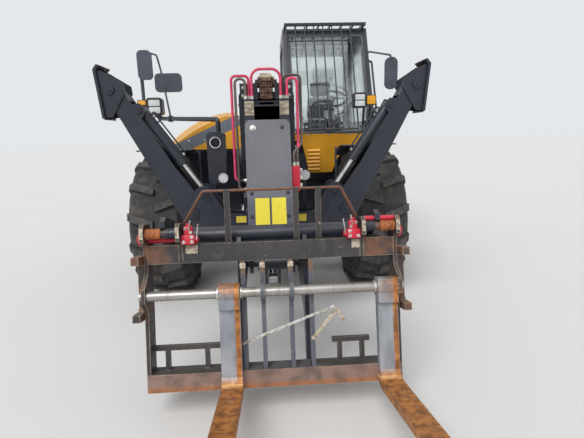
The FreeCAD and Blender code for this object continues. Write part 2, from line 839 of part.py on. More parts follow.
def fork_frame():
    half, t = fork_frame_half_width, ear_plate
    parts = [block(-half, half, beam_front, beam_back, top_beam_low, top_beam_high),
             block(-half, half, fork_thickness / 2 + running_gap, beam_back, lower_beam_low,
                   lower_beam_high)]
    for side in (1, -1):
        for x in (side * (half - t / 2), side * inner_ear_x):
            parts.append(side_plate([(-34, hook_pin_height - 40), (-34, ear_top - 20), (-14, ear_top),
                                     (90, ear_top), (beam_back, top_beam_high), (beam_back, top_beam_low),
                                     (beam_front, top_beam_low), (beam_front - 10, top_beam_high)],
                                    x - t / 2, x + t / 2))
        x = side * (half - t / 2)
        parts.append(side_plate([(-38, -30), (-38, 40), (beam_front, 110), (beam_front, top_beam_low + 5),
                                 (beam_back - 20, top_beam_low + 5), (beam_back - 20, lower_beam_low),
                                 (fork_thickness / 2 + running_gap, lower_beam_low),
                                 (fork_thickness / 2 + running_gap, -90)], x - t / 2, x + t / 2))
        x0, x1 = sorted((side * (half - 1), side * (half + outer_hook_width)))
        parts.append(side_plate(outer_hook, x0, x1))
        near, far = sorted((side * inner_ear_x, side * (half - t / 2)))
        parts.append(x_rod(8, hook_pin_height, near, far, hook_pin_diameter))
    for x in upright_centres:
        parts.append(block(x - upright_plate / 2, x + upright_plate / 2, beam_front, beam_back - 30,
                           lower_beam_high - 5, top_beam_low + 5))
    for x0, x1 in lower_rails:
        y = (beam_front + beam_back) / 2
        parts.append(block(x0, x1, y, y + lower_rail_size, lower_rail_z, lower_rail_z + lower_rail_size))
        for x in (x0 + (x1 - x0) * 0.2, x0 + (x1 - x0) * 0.8):
            parts.append(block(x - 12, x + 12, y, y + lower_rail_size, lower_beam_high - 2,
                               lower_rail_z + 2))
    for x in guard_posts:
        parts.append(side_plate([(26, ear_top + 158), (26 + guard_post_plate, ear_top + 158),
                                 (beam_front + 34 + guard_post_plate, top_beam_high - 5),
                                 (beam_front + 34, top_beam_high - 5)],
                                x - guard_post_width / 2, x + guard_post_width / 2))
    for x in upright_centres[1:3]:
        eye = rod(vec(x - upright_plate / 2, 0, 0), vec(x + upright_plate / 2, 0, 0), shaft_diameter + 44)
        neck = block(x - upright_plate / 2, x + upright_plate / 2, 0, beam_front + 5, -36, 36)
        parts += [eye, neck]
    whole = fused(parts)
    whole = whole.cut(rod(vec(-half - 5, 0, 0), vec(half + 5, 0, 0), shaft_diameter))
    return fork_place(whole.fuse(guard_rod()).removeSplitter())


def fork_shaft():
    half = fork_frame_half_width + 14
    return fork_place(rod(vec(-half, 0, 0), vec(half, 0, 0), shaft_diameter))


def guard_rod():
    foot, high = ear_top - 60, ear_top + 158
    end = inner_ear_x - ear_plate / 2 - guard_rod_diameter / 2 + 1
    points = [vec(-end, 70, foot), vec(-end, 70, ear_top), vec(-end + 105, 30, high),
              vec(end - 85, 30, high),
              vec(end, 70, ear_top), vec(end, 70, foot)]
    return bent_tube(points, guard_rod_diameter, 24)


def fork(x):
    w, t = fork_width / 2, fork_thickness / 2
    tip = -t - fork_length
    outline = [(-t, fork_eye_diameter / 2 - 6), (t, fork_eye_diameter / 2 - 6), (t, fork_heel + 50),
               (t - 16, fork_heel + 14), (t - 50, fork_heel), (tip + 12, fork_heel + 26),
               (tip, fork_heel + 30),
               (tip, fork_heel + 40), (-t - 60, fork_heel + fork_thickness + 6),
               (-t - 14, fork_heel + fork_thickness + 16), (-t, fork_heel + fork_thickness + 50)]
    blade = side_plate(outline, x - w, x + w)
    taper = front_cut(x, w, tip)
    eye = rod(vec(x - w, 0, 0), vec(x + w, 0, 0), fork_eye_diameter)
    head = block(x - w, x + w, -t - fork_head_step, t, fork_head_low, fork_head_high)
    whole = fused([blade, eye, head]).cut([taper[0], taper[1]])
    whole = whole.cut(rod(vec(x - w - 1, 0, 0), vec(x + w + 1, 0, 0), shaft_diameter + 4))
    return fork_place(whole)


def front_cut(x, w, tip):
    # two wedges that narrow the tip of a fork
    wedges = []
    for side in (1, -1):
        points = [vec(x + side * (w + 1), tip + 260, fork_heel - 5),
                  vec(x + side * (w + 1), tip - 1, fork_heel - 5),
                  vec(x + side * (w - 24), tip - 1, fork_heel - 5)]
        face = Part.Face(Part.makePolygon(points + points[:1]))
        wedges.append(face.extrude(vec(0, 0, 90)))
    return wedges


def hitch():
    hw, hs = fork_own(hitch_pin_y, hitch_pin_z)
    back = beam_back + running_gap
    parts = []
    for side in (1, -1):
        x0, x1 = sorted((side * (cover_half_width + 17), side * (cover_half_width + 39)))
        parts.append(side_plate([(back, top_beam_high), (back, lower_beam_low + 40),
                                 (back + 70, lower_beam_low + 40),
                                 (back + 130, -150), (hw - 40, hs - 70), (hw + 40, hs - 62), (hw + 66, hs),
                                 (hw + 40, hs + 66),
                                 (hw - 60, hs + 76), (back + 180, top_beam_high + 40),
                                 (back + 20, top_beam_high + 60)], x0, x1))
        for x in (side * (inner_ear_x + 75),):
            parts.append(side_plate([(back, top_beam_low + 10), (back + 90, top_beam_low + 30),
                                     (back + 90, hook_pin_height + 60), (20, ear_top + 34),
                                     (-16, ear_top + 10), (-16, hook_pin_height + 30),
                                     (10, hook_pin_height + 22), (40, hook_pin_height + 16),
                                     (beam_back + running_gap, top_beam_high + 12)], x - 12, x + 12))
    parts.append(rod(vec(-inner_ear_x - 87, back + 52, hook_pin_height - 20),
                     vec(inner_ear_x + 87, back + 52, hook_pin_height - 20), 92))
    frame = fork_place(fused(parts))
    lever_y, lever_z = tilt_eye.y, tilt_eye.z
    levers = []
    for x in (34, -54):
        levers.append(side_plate([(hitch_pin_y - 48, hitch_pin_z + 14),
                                  (hitch_pin_y + 22, hitch_pin_z + 46),
                                  (lever_y + 42, lever_z + 18), (lever_y + 40, lever_z - 34),
                                  (lever_y - 20, lever_z - 42), (hitch_pin_y - 36, hitch_pin_z - 30)], x,
                                 x + 20))
    reach = cover_half_width + 39
    tube = x_rod(hitch_pin_y, hitch_pin_z, -96, 96, hitch_pin_diameter + 40)
    pin = x_rod(hitch_pin_y, hitch_pin_z, -reach - 10, reach + 10, hitch_pin_diameter)
    return frame.fuse(levers + [tube, pin]).removeSplitter()


# Stabilisers, the left one made and mirrored for the right

def leg_point(along, off):
    turn = math.radians(leg_elevation)
    return (leg_pivot_x + along * math.cos(turn) - off * math.sin(turn),
            leg_pivot_z + along * math.sin(turn) + off * math.cos(turn))


def leg_outline(inset):
    tip = leg_length
    r = leg_tip_radius - inset
    points = [(-70, leg_low_side + inset), (tip - 60, -r + 6), (tip, -r), (tip + r * 0.7, -r * 0.7),
              (tip + r, 0),
              (tip + r * 0.7, r * 0.6), (tip, leg_tip_high_side - inset),
              (330, leg_tip_high_side + 6 - inset),
              (60, leg_high_side - inset), (-20, leg_high_side - inset), (-82, 40), (-98, -30)]
    return [leg_point(a, v) for a, v in points]


def leg():
    body = front_plate(leg_outline(0), leg_front, leg_rear)
    hollow = front_plate([leg_point(a, v) for a, v in
                          [(-150, leg_low_side + leg_plate),
                           (leg_length - 120, leg_low_side + leg_plate + 26),
                           (leg_length - 120, 200), (-150, 200)]],
                         leg_front + leg_plate, leg_rear - leg_plate)
    channel = body.cut(hollow)
    px, pz = leg_pivot_x, leg_pivot_z
    sleeve = y_rod(px, pz, leg_front + leg_plate, leg_rear - leg_plate, leg_pivot_diameter + 44)
    ex, ez = leg_point(leg_eye_along, leg_eye_off)
    pin = y_rod(ex, ez, leg_front - 6, leg_rear + 6, prop_pin_diameter)
    lugs = []
    for y in (leg_front, leg_rear - leg_plate):
        lugs.append(front_plate([leg_point(a, v) for a, v in
                                 [(leg_eye_along - 70, 40), (leg_eye_along + 70, 40),
                                  (leg_eye_along + 34, leg_eye_off + 34),
                                  (leg_eye_along - 34, leg_eye_off + 34)]],
                                y, y + leg_plate))
    whole = fused([channel, sleeve] + lugs)
    whole = whole.cut(y_rod(px, pz, leg_front - 1, leg_rear + 1, leg_pivot_diameter + 2 * running_gap))
    fx, fz = leg_point(leg_length, 0)
    whole = whole.cut(y_rod(fx, fz, leg_front - 1, leg_rear + 1, 50 + 2 * running_gap))
    return whole.fuse(pin).removeSplitter()


def pad_point(out, up):
    # place on the foot: outward from its pivot and up along its plate
    fx, fz = leg_point(leg_length, 0)
    turn = math.radians(pad_lean)
    return (fx + out * math.cos(turn) + up * math.sin(turn),
            fz - out * math.sin(turn) + up * math.cos(turn))


def stabiliser_foot():
    # a plate with its upper edge turned in, between two three-cornered cheeks
    near, low, high = pad_offset - pad_plate, pad_low, pad_high
    mid_y = (leg_front + leg_rear) / 2
    plate = front_plate([pad_point(near, low), pad_point(pad_offset, low + 14), pad_point(pad_offset, high),
                         pad_point(pad_offset - pad_lip, high + pad_lip),
                         pad_point(near - pad_lip, high + pad_lip - 8), pad_point(near, high - 8)],
                        mid_y - pad_width / 2, mid_y + pad_width / 2)
    nose = cheek_nose
    cheek = [pad_point(near + 2, low + 16), pad_point(near + 2, high - 4), pad_point(near - 26, high - 10),
             pad_point(-nose, 28), pad_point(-nose, -26), pad_point(near - 48, low + 16)]
    parts = [plate]
    for y in (leg_front - running_gap - cheek_plate, leg_rear + running_gap):
        parts.append(front_plate(cheek, y, y + cheek_plate))
    fx, fz = leg_point(leg_length, 0)
    parts.append(y_rod(fx, fz, leg_front - cheek_plate - 10, leg_rear + cheek_plate + 10, 50))
    return fused(parts)


def y_barrel(foot, eye, diameter, length, rod_diameter, pin_diameter, eye_width):
    line = (eye - foot).normalize()
    tube = rod(foot + line * (pin_diameter * 0.5 + 6), foot + line * length, diameter)
    lug = y_rod(foot.x, foot.z, foot.y - eye_width / 2, foot.y + eye_width / 2, pin_diameter + 36)
    whole = fused([tube, lug])
    whole = whole.cut(y_rod(foot.x, foot.z, foot.y - 200, foot.y + 200, pin_diameter + 2 * running_gap))
    return whole.cut(rod(foot + line * (pin_diameter + 40), foot + line * (length + 1),
                         rod_diameter + 2 * running_gap))


def y_ram(foot, eye, rod_diameter, pin_diameter, eye_width, reach_in, stub):
    line = (eye - foot).normalize()
    bar = rod(eye - line * reach_in, eye - line * (pin_diameter * 0.5), rod_diameter)
    lug = y_rod(eye.x, eye.z, eye.y - eye_width / 2, eye.y + eye_width / 2, pin_diameter + 30)
    return fused([bar, lug])


prop_mid_y = (leg_front + leg_rear) / 2
prop_foot = vec(leg_point(leg_eye_along, leg_eye_off)[0], prop_mid_y,
                leg_point(leg_eye_along, leg_eye_off)[1])
prop_eye = vec(prop_foot_x, prop_mid_y, prop_foot_z)
# the barrel and the rod keep as far from the other's eye however long the prop is
prop_barrel_length = (prop_eye - prop_foot).Length - prop_barrel_short
prop_rod_length = (prop_eye - prop_foot).Length - prop_rod_short


def stabiliser_frame():
    front, rear = leg_front - running_gap, leg_rear + running_gap
    t = stay_plate
    parts = []
    reach = stay_reach
    cheek = [(stay_inner_x, stay_low), (reach - 90, stay_low), (reach - 8, leg_pivot_z - 84),
             (reach, leg_pivot_z), (reach - 40, leg_pivot_z + 62), (prop_foot_x + 52, prop_foot_z + 36),
             (prop_foot_x + 20, prop_foot_z + 56), (prop_foot_x - 30, prop_foot_z + 50),
             (stay_outer_x - 20, 870), (stay_inner_x, stay_high - 120)]
    for side in (1, -1):
        mirror = [(side * x, z) for x, z in cheek]
        parts.append(front_plate(mirror, front - t, front))
        parts.append(front_plate(mirror, rear, rear + t))
        for x in (stay_inner_x, stay_outer_x):
            x0, x1 = sorted((side * x, side * (x + t)))
            parts.append(block(x0, x1, front, rear, stay_low, 776 if x == stay_outer_x else 880))
        x0, x1 = sorted((side * (stay_inner_x + t), side * stay_outer_x))
        parts.append(block(x0, x1, front, rear, stay_low, stay_low + t))
        x0, x1 = sorted((side * (stay_outer_x + t), side * (reach - 120)))
        parts.append(block(x0, x1, front, rear, stay_low, stay_low + t))
    parts.append(block(-stay_inner_x, stay_inner_x, rear, rear + t, stay_low, 800))
    whole = fused(parts)
    holes, pins = [], []
    for side in (1, -1):
        pins.append(y_rod(side * leg_pivot_x, leg_pivot_z, front - t - 12, rear + t + 12,
                          leg_pivot_diameter))
        for y in (front - t - 8, rear + t):
            pins.append(y_rod(side * prop_foot_x, prop_foot_z, y, y + 8, prop_pin_diameter + 24))
    return whole.fuse(pins).removeSplitter()


# Cab

def cab_outline(inset):
    i = inset
    lean = math.atan2(brow_y - sill_y, roof_z - sill_z)
    shift = i / math.cos(lean)
    return [(cab_step_y + i, cab_floor + i), (cab_step_y + i, cab_step_z + i),
            (cab_nose_y + i, cab_step_z + i),
            (sill_y + shift, sill_z + (i * 0.3)), (brow_y + shift - i * math.tan(lean), roof_z - i),
            (cab_rear - 50 - i, roof_z - i), (cab_rear - i, 1500), (cab_rear - i, cab_floor + i)]


def door_outline(inset):
    i = inset
    return [(door_front_low_y + i, door_low + i), (door_front_low_y + i, 1400), (700 + i, 1470 + i * 0.4),
            (1070 + i, 2430 - i), (door_rear_y - 30 - i, 2430 - i), (door_rear_y - i, 1500),
            (door_rear_y - i, door_low + i)]


def cab_shell():
    body = side_plate(cab_outline(0), cab_inner_x, cab_outer_x)
    well = block(cab_inner_x + 70, footwell_right, cab_nose_y - 14, cab_step_y + 60, footwell_low,
                 cab_step_z + 30)
    inside = side_plate(cab_outline(cab_wall), cab_inner_x + cab_wall, cab_outer_x - cab_wall)
    well_inside = block(cab_inner_x + 70 + 25, footwell_right - 25, cab_nose_y + 12,
                        cab_step_y + cab_wall + 30,
                        footwell_low + 25, cab_step_z + cab_wall + 60)
    whole = fused([body, well])
    whole = whole.cut([inside, well_inside])
    screen = rounded(block(screen_left, screen_right, sill_y - 60, brow_y + 60, screen_low, screen_high),
                     vec(0, 1, 0), 50)
    door = side_plate(door_outline(-6), cab_outer_x - cab_wall, cab_outer_x)
    side = side_plate([(730, 1490), (1090, 2420), (1860, 2420), (1890, 1490)], cab_inner_x,
                      cab_inner_x + cab_wall)
    back = rounded(block(cab_inner_x + 90, cab_outer_x - 90, cab_rear - 100, cab_rear, 1490, 2420),
                   vec(0, 1, 0), 50)
    top = block(cab_inner_x + 110, cab_outer_x - 110, 1160, 1780, roof_z - cab_wall, roof_z)
    return whole.cut([screen, door, side, back, top]).fuse(door_hinge_knuckles()).removeSplitter()


def screen_pane():
    # the slanted pane lies in the screen's opening, just inside the outer face
    lean = math.atan2(brow_y - sill_y, roof_z - sill_z)
    g = glass_gap
    low, high = screen_low + g, screen_high - g
    def front_y(z):
        return sill_y + (z - sill_z) * math.tan(lean)
    outline = [(front_y(low) + 6, low), (front_y(high) + 6, high),
               (front_y(high) + 6 + glass_thickness, high),
               (front_y(low) + 6 + glass_thickness, low)]
    pane = side_plate(outline, screen_left + g, screen_right - g)
    limit = rounded(block(screen_left + g, screen_right - g, sill_y - 60, brow_y + 60, low, high),
                    vec(0, 1, 0), 50)
    return pane.common(limit)


def side_pane():
    g = glass_gap
    return side_plate([(730 + g, 1490 + g), (1090 + g, 2420 - g), (1860 - g, 2420 - g),
                       (1890 - g, 1490 + g)],
                      cab_inner_x + 10, cab_inner_x + 10 + glass_thickness)


def rear_pane():
    g = glass_gap
    pane = block(cab_inner_x + 90 + g, cab_outer_x - 90 - g, cab_rear - 22, cab_rear - 22 + glass_thickness,
                 1490 + g, 2420 - g)
    slab = side_plate([(cab_rear - 16, 1490 + g), (cab_rear - 22, 1490 + g), (cab_rear - 66, 2420 - g),
                       (cab_rear - 60, 2420 - g)], cab_inner_x + 90 + g, cab_outer_x - 90 - g)
    limit = rounded(block(cab_inner_x + 90 + g, cab_outer_x - 90 - g, cab_rear - 100, cab_rear, 1490 + g,
                          2420 - g),
                    vec(0, 1, 0), 50)
    return slab.common(limit)


def roof_pane():
    g = glass_gap
    return block(cab_inner_x + 110 + g, cab_outer_x - 110 - g, 1160 + g, 1780 - g, roof_z - 16, roof_z - 10)


def cab_door():
    skin_out = cab_outer_x
    frame = side_plate(door_outline(0), skin_out - door_thickness, skin_out)
    window = side_plate([(760, 1540), (1110, 2370), (door_rear_y - 80, 2370), (door_rear_y - 60, 1540)],
                        skin_out - door_thickness, skin_out)
    pocket = side_plate([(door_front_low_y + 60, door_low + 70), (door_front_low_y + 60, 1440),
                         (door_rear_y - 60, 1440), (door_rear_y - 60, door_low + 70)],
                        skin_out - door_thickness, skin_out)
    frame = frame.cut([window, pocket])
    handle = rod(vec(skin_out, 950, 1480), vec(skin_out + 24, 950, 1480), 36)
    tubes, bores = [], []
    for z in door_hinge_z:
        half = door_hinge_half
        tubes.append(z_rod(door_hinge_x, door_hinge_y, z - half, z + half, door_hinge_tube))
        tubes.append(block(skin_out - 1, skin_out + 7, door_rear_y - 46, door_rear_y - 1, z - half,
                           z + half))
        tubes.append(block(skin_out + 0.3, skin_out + 7, door_rear_y - 2, door_hinge_y, z - half, z + half))
        bores.append(z_rod(door_hinge_x, door_hinge_y, z - half, z + half,
                           door_hinge_pin + 2 * running_gap))
    return fused([frame, handle] + tubes).cut(bores)


def door_hinge_knuckles():
    # the cab's half of the door's hinges, each with its pin
    parts = []
    for z in door_hinge_z:
        low, high = door_hinge_half + running_gap, door_hinge_half + door_hinge_knuckle
        for z0, z1 in ((z - high, z - low), (z + low, z + high)):
            parts.append(z_rod(door_hinge_x, door_hinge_y, z0, z1, door_hinge_tube))
            parts.append(block(cab_outer_x + 0.3, cab_outer_x + 7, door_hinge_y, door_rear_y + 12, z0, z1))
            parts.append(block(cab_outer_x - 1, cab_outer_x + 7, door_rear_y + 10, door_rear_y + 46, z0,
                               z1))
        parts.append(z_rod(door_hinge_x, door_hinge_y, z - high, z + high, door_hinge_pin))
    return parts


def door_panes():
    x = cab_outer_x - door_thickness + 12
    g = glass_gap
    upper = side_plate([(760 + g, 1540 + g), (1110 + g, 2370 - g), (door_rear_y - 80 - g, 2370 - g),
                        (door_rear_y - 60 - g, 1540 + g)], x, x + glass_thickness)
    lower = side_plate([(door_front_low_y + 60 + g, door_low + 70 + g),
                        (door_front_low_y + 60 + g, 1440 - g),
                        (door_rear_y - 60 - g, 1440 - g), (door_rear_y - 60 - g, door_low + 70 + g)],
                       x, x + glass_thickness)
    return upper, lower


def screen_front(z):
    # place of the windscreen's outer face at a height
    return sill_y + (z - sill_z) * (brow_y - sill_y) / float(roof_z - sill_z)


def cab_guard():
    # a barred frame on the roof, and upright bars over the windscreen that end just below it
    z0, z1 = roof_z + roof_guard_height - roof_guard_rail, roof_z + roof_guard_height
    r = roof_guard_rail
    x0, x1, y1 = cab_inner_x + 20, cab_outer_x - 20, cab_rear - 80
    y0 = screen_front(z0) - guard_offset - r / 2
    roof = [block(x0, x1, y0, y0 + r, z0, z1), block(x0, x1, y1 - r, y1, z0, z1),
            block(x0, x0 + r, y0, y1, z0, z1), block(x1 - r, x1, y0, y1, z0, z1)]
    for n in range(1, 7):
        x = x0 + (x1 - x0) * n / 7.0
        roof.append(block(x - 8, x + 8, y0, y1, z0 + 6, z1 - 6))
    for x in (x0, x1 - r):
        for y in (brow_y + 60, y1 - r):
            roof.append(block(x, x + r, y, y + r, roof_z, z0))
    low, left, right, bars = guard_low_z, screen_left - 40, guard_right, []
    for n in range(8):
        x = left + (right - left) * n / 7.0
        bars.append(rod(vec(x, screen_front(low) - guard_offset, low),
                         vec(x, screen_front(z0 + 8) - guard_offset, z0 + 8), guard_bar))
    for z in guard_rows:
        y = screen_front(z) - guard_offset
        bars.append(x_rod(y, z, left - 4, right + 4, guard_bar))
        for x in (left, right):
            bars.append(y_rod(x, z, y, y + guard_offset - guard_bar / 4.0, guard_bar))
    above = block(left - 20, right + 20, y0 - 20, y0 + 2 * r, z0 - running_gap, z1 + 20)
    return [fused(roof), fused(bars).cut(above)]


def cab_front_panel():
    # louvred sheet below the windscreen, its outer edge following the wheel
    t, low_y = panel_plate, cab_nose_y - 14 - running_gap

    def plane_y(z):
        return low_y + (panel_top_y - low_y) * (z - footwell_low) / float(panel_high - footwell_low)

    outline = [(243, panel_high), (1052, panel_high - 16), (1052, 1376), (966, 1288), (850, 1268),
               (796, 1215),
               (742, 1154), (684, panel_low), (437, panel_low), (358, 1334), (243, 1360)]
    solid = front_plate(outline, low_y - 300, low_y + 100)
    slab = side_plate([(plane_y(1640) - t, 1640), (plane_y(1640), 1640), (plane_y(900), 900),
                       (plane_y(900) - t, 900)], 200, 1100)
    sheet = solid.common(slab)
    louvres = []
    for n in range(louvre_count):
        z, top = louvre_low + n * louvre_pitch, louvre_low + n * louvre_pitch + louvre_rise
        louvres.append(side_plate([(plane_y(z) - t + 1, z), (plane_y(z) - t - louvre_depth, z),
                                   (plane_y(top) - t + 1, top)], louvre_x[0], louvre_x[1]))
    z0, z1 = sill_z - 12, sill_z - 8
    nose_y = sill_y + (cab_nose_y - sill_y) * (sill_z - z1) / float(sill_z - cab_step_z)
    cowl = block(290, 980, plane_y(z1) - 2, nose_y - running_gap, z0, z1)
    return fused([sheet, cowl] + louvres)


def seat():
    base = block(560, 860, 1360, 1720, cab_floor + cab_wall, cab_floor + cab_wall + 330)
    cushion = rounded(block(520, 900, 1280, 1760, cab_floor + cab_wall + 330, cab_floor + cab_wall + 450),
                      vec(0, 0, 1), 60)
    back = side_plate([(1720, 1420), (1690, 1390), (1600, 1390), (1690, 2050), (1720, 2080), (1800, 2060)],
                      530, 890)
    return fused([base, cushion, back])


def dashboard():
    low = cab_step_z + cab_wall + running_gap
    column = side_plate([(690, low), (690, 1560), (740, 1600), (800, 1560), (800, low)], 660, 800)
    centre = vec(730, 900, 1800)
    grip = []
    for n in range(8):
        turn = math.pi * (n + 0.5) / 4
        grip.append(vec(wheel_radius + wheel_grip * math.cos(turn), 0, wheel_grip * math.sin(turn)))
    section = Part.Face(Part.makePolygon(grip + grip[:1]))
    ring = section.revolve(vec(0, 0, 0), vec(0, 0, 1), 360)
    bar = block(-wheel_radius, wheel_radius, -11, 11, -6, 6)
    wheel = fused([ring, bar])
    wheel.rotate(vec(0, 0, 0), vec(1, 0, 0), wheel_lean)
    wheel.translate(centre)
    shaft = rod(vec(730, 735, 1514), centre, 48)
    return fused([column, wheel, shaft])


# Engine side

def engine_block():
    return block(-860, -430, 900, 1840, pod_low + pod_floor, 1400)


def engine_pod():
    c, t = 50, pod_wall
    outer = front_plate([(-pod_outer_x, pod_low + c), (-pod_outer_x + c, pod_low),
                         (-pod_inner_x - c, pod_low),
                         (-pod_inner_x, pod_low + c), (-pod_inner_x, pod_high), (-pod_outer_x, pod_high)],
                        pod_front, pod_rear)
    inside = block(-pod_outer_x + t, -pod_inner_x - t, pod_front + t, pod_rear - t, pod_low + pod_floor,
                   pod_high + 100)
    body = outer.cut(inside)
    deck = block(-900, -pod_inner_x, bonnet_front + 40, pod_front + t, pod_high - 28, pod_high)
    y, z, r = bonnet_hinge_y, bonnet_hinge_z, bonnet_hinge_pin / 2
    hinges = []
    for x in bonnet_hinge_x:
        ear = r + 3
        bracket = [(pod_rear, pod_high - 28), (y + ear, pod_high - 28), (y + ear, z + ear),
                   (y - ear, z + ear),
                   (y - ear, pod_high), (pod_rear, pod_high)]
        hinges += [side_plate(bracket, x + 30, x + 40), side_plate(bracket, x - 40, x - 30),
                   x_rod(y, z, x - 40, x + 40, 2 * r)]
    return fused([body, deck] + hinges)


def bonnet_section(y, crest_z, shoulder_z, outer_x, inset):
    # section across the machine: upright by the boom, a crest, then one arc down to the outer edge
    i, low = inset, pod_high + bonnet_clearance
    inner_x, crest_x = -pod_inner_x + 60 - i, -bonnet_crest_x
    side_z, middle_x = low + 22, crest_x - (outer_x - bonnet_crest_x) * 0.63
    arc = Part.Arc(vec(crest_x, y, crest_z - i), vec(middle_x + i * 0.6, y, shoulder_z - i * 0.8),
                   vec(-outer_x + i, y, side_z - i * 0.4))
    points = [vec(inner_x, y, low), vec(inner_x, y, crest_z - 80 - i),
              vec(inner_x - 60 + i, y, crest_z - 6 - i)]
    first, last = arc.FirstParameter, arc.LastParameter
    for n in range(bonnet_facets + 1):
        points.append(arc.value(first + (last - first) * n / bonnet_facets))
    points.append(vec(-outer_x + i, y, low))
    return Part.makePolygon(points + points[:1])


# sections of the bonnet from front to rear: place, crest height, shoulder height, outer edge
bonnet_rows = [(bonnet_front, bonnet_crest_z - 50, 1452, pod_outer_x - 100),
               (700, bonnet_crest_z, 1517, pod_outer_x),
               (bonnet_rear, bonnet_crest_z - 34, 1500, pod_outer_x)]


def bonnet_solid(inset):
    sections = []
    for n, (y, crest_z, shoulder_z, outer_x) in enumerate(bonnet_rows):
        sections.append(bonnet_section(y + inset * (1 - n), crest_z, shoulder_z, outer_x, inset))
    return Part.makeLoft(sections, True, True)


def bonnet():
    shell = bonnet_solid(0).cut(bonnet_solid(bonnet_skin))
    under = block(-pod_outer_x + bonnet_skin, -pod_inner_x + 60 - bonnet_skin, bonnet_front + 60,
                  bonnet_rear - 20,
                  pod_high, pod_high + 40)
    tubes = []
    for x in bonnet_hinge_x:
        tubes.append(x_rod(bonnet_hinge_y, bonnet_hinge_z, x - 29, x + 29, bonnet_hinge_pin + 10))
        tubes.append(block(x - 29, x + 29, bonnet_rear - 3, bonnet_hinge_y, bonnet_hinge_z - 4,
                           bonnet_hinge_z + 4))
    pins = [x_rod(bonnet_hinge_y, bonnet_hinge_z, x - 50, x + 50, bonnet_hinge_pin + 2 * running_gap)
            for x in bonnet_hinge_x]
    return fused([shell.cut(under)] + tubes).cut(pins)


def lamp_pod():
    # upright box behind the right stabiliser that carries the lamp tube
    x0, x1 = lamp_pod_x - lamp_pod_half_width, lamp_pod_x + lamp_pod_half_width
    z0, z1 = lamp_pod_top - lamp_pod_height, lamp_pod_top
    rear = leg_rear + running_gap + stay_plate + running_gap
    body = rounded(block(x0, x1, rear, rear + 80, z0, z1), vec(0, 1, 0), 34)
    ring_x, ring_z = lamp_pod_x - 2, lamp_pod_top - 78
    ring = y_rod(ring_x, ring_z, rear - 12, rear, 92).cut(y_rod(ring_x, ring_z, rear - 13, rear + 1, 70))
    foot = block(lamp_pod_x - 52, lamp_pod_x - 18, rear, rear + 30, 900, z0 + 60)
    return fused([body, ring, foot])


def headlamp(x, z, y):
    # square lamp case with a lens face toward the front
    return rounded(block(x - 68, x + 68, y, y + 90, z - 76, z + 76), vec(0, 1, 0), 26)


def lamp_tube_points():
    rise = vec(lamp_pod_x + 19, leg_rear + 60, lamp_pod_top + running_gap)
    return [rise, vec(rise.x, rise.y, 1548), vec(-938, right_lamp_y + 40, 1588),
            vec(right_lamp_x, right_lamp_y + 40, right_lamp_z - 70)]


def work_lamps():
    # round lamps facing forward, one on the pod and one on a bracket from the stabiliser frame
    frame_back = leg_rear + running_gap + stay_plate + running_gap
    x, z = work_lamp_right
    right = y_rod(x, z, work_lamp_front, frame_back - running_gap, work_lamp_diameter)
    x, z = work_lamp_left
    bracket = block(x - 14, x + 14, frame_back, frame_back + 10, 760, z + 20)
    left = y_rod(x, z, work_lamp_front, frame_back + 2, work_lamp_diameter)
    return [right, fused([left, bracket])]


def lamp_set():
    # lamps with their tube on the right and posts on the left
    tube = bent_tube(lamp_tube_points(), lamp_tube_diameter, 26)
    x, y, z = right_lamp_x, right_lamp_y, right_lamp_z
    right_turn = rounded(block(x - 148, x - 66, y + 6, y + 84, z - 56, z + 60), vec(0, 1, 0), 16)
    right = fused([tube, headlamp(x, z, y), right_turn])
    x, y, z = left_lamp_x, left_lamp_y, left_lamp_z
    left_turn = rounded(block(x + 66, x + 168, y + 6, y + 84, z - 50, z + 50), vec(0, 1, 0), 16)
    posts = [rod(vec(px, y + 50, z - 60 if px < x + 68 else z - 30),
                 vec(px, sill_y - 16, lamp_shelf_z + 10),
                 lamp_tube_diameter - 12) for px in (x + 52, x + 118)]
    shelf = block(x + 30, x + 146, sill_y - 36, screen_front(lamp_shelf_z) - running_gap, lamp_shelf_z,
                  lamp_shelf_z + 22)
    return [right, fused([headlamp(x, z, y), left_turn, shelf] + posts)]


def mirror_plate(x0, x1, z0, z1, y, depth, corner):
    return rounded(block(x0, x1, y, y + depth, z0, z1), vec(0, 1, 0), corner)


def mirrors():
    # two mirrors on a stem and a post at the right, one on the cab at the left
    y = -100
    start, corner = lamp_tube_points()[1:3]
    along = (corner - start).normalize()
    grip = start + (corner - start) * 0.82
    clamp = rod(grip - along * 17, grip + along * 17, lamp_tube_diameter + 18)
    clamp = clamp.cut(rod(grip - along * 18, grip + along * 18, lamp_tube_diameter + 2 * running_gap))
    stem = bent_tube([grip + vec(0, 0, lamp_tube_diameter / 2 + 4), vec(-905, y, 2000), vec(-930, y, 2120),
                      vec(-1000, y, 2140), vec(-1050, y, 2090), vec(-1050, y, 1960)], 16, 20)
    tall = mirror_plate(-1092, -970, 1915, 2157, y - 30, 28, 40)
    wide = mirror_plate(-957, -728, 1809, 1965, y - 30, 28, 36)
    indicator_top = right_lamp_z + 60 + running_gap
    post = rod(vec(mirror_post_x, y + 12, indicator_top), vec(mirror_post_x, y + 12, 1980),
               mirror_post_diameter)
    pads = [y_rod(-1050, 2060, y - 8, y, 20), y_rod(-890, 1890, y - 6, y + 2, 20),
            y_rod(mirror_post_x, 1940, y - 8, y, 20)]
    x, x1 = cab_outer_x + 9.4, cab_outer_x + 62
    arm = bent_tube([vec(x, 1020, 2285), vec(x, 860, 2285), vec(x1, 220, 2140), vec(x1, 220, 2060)], 18, 14)
    oval = mirror_plate(x1 - 60, x1 + 60, 1822, 2118, 180, 34, 56)
    return [fused([stem, clamp, tall, wide, post] + pads), fused([arm, oval])]


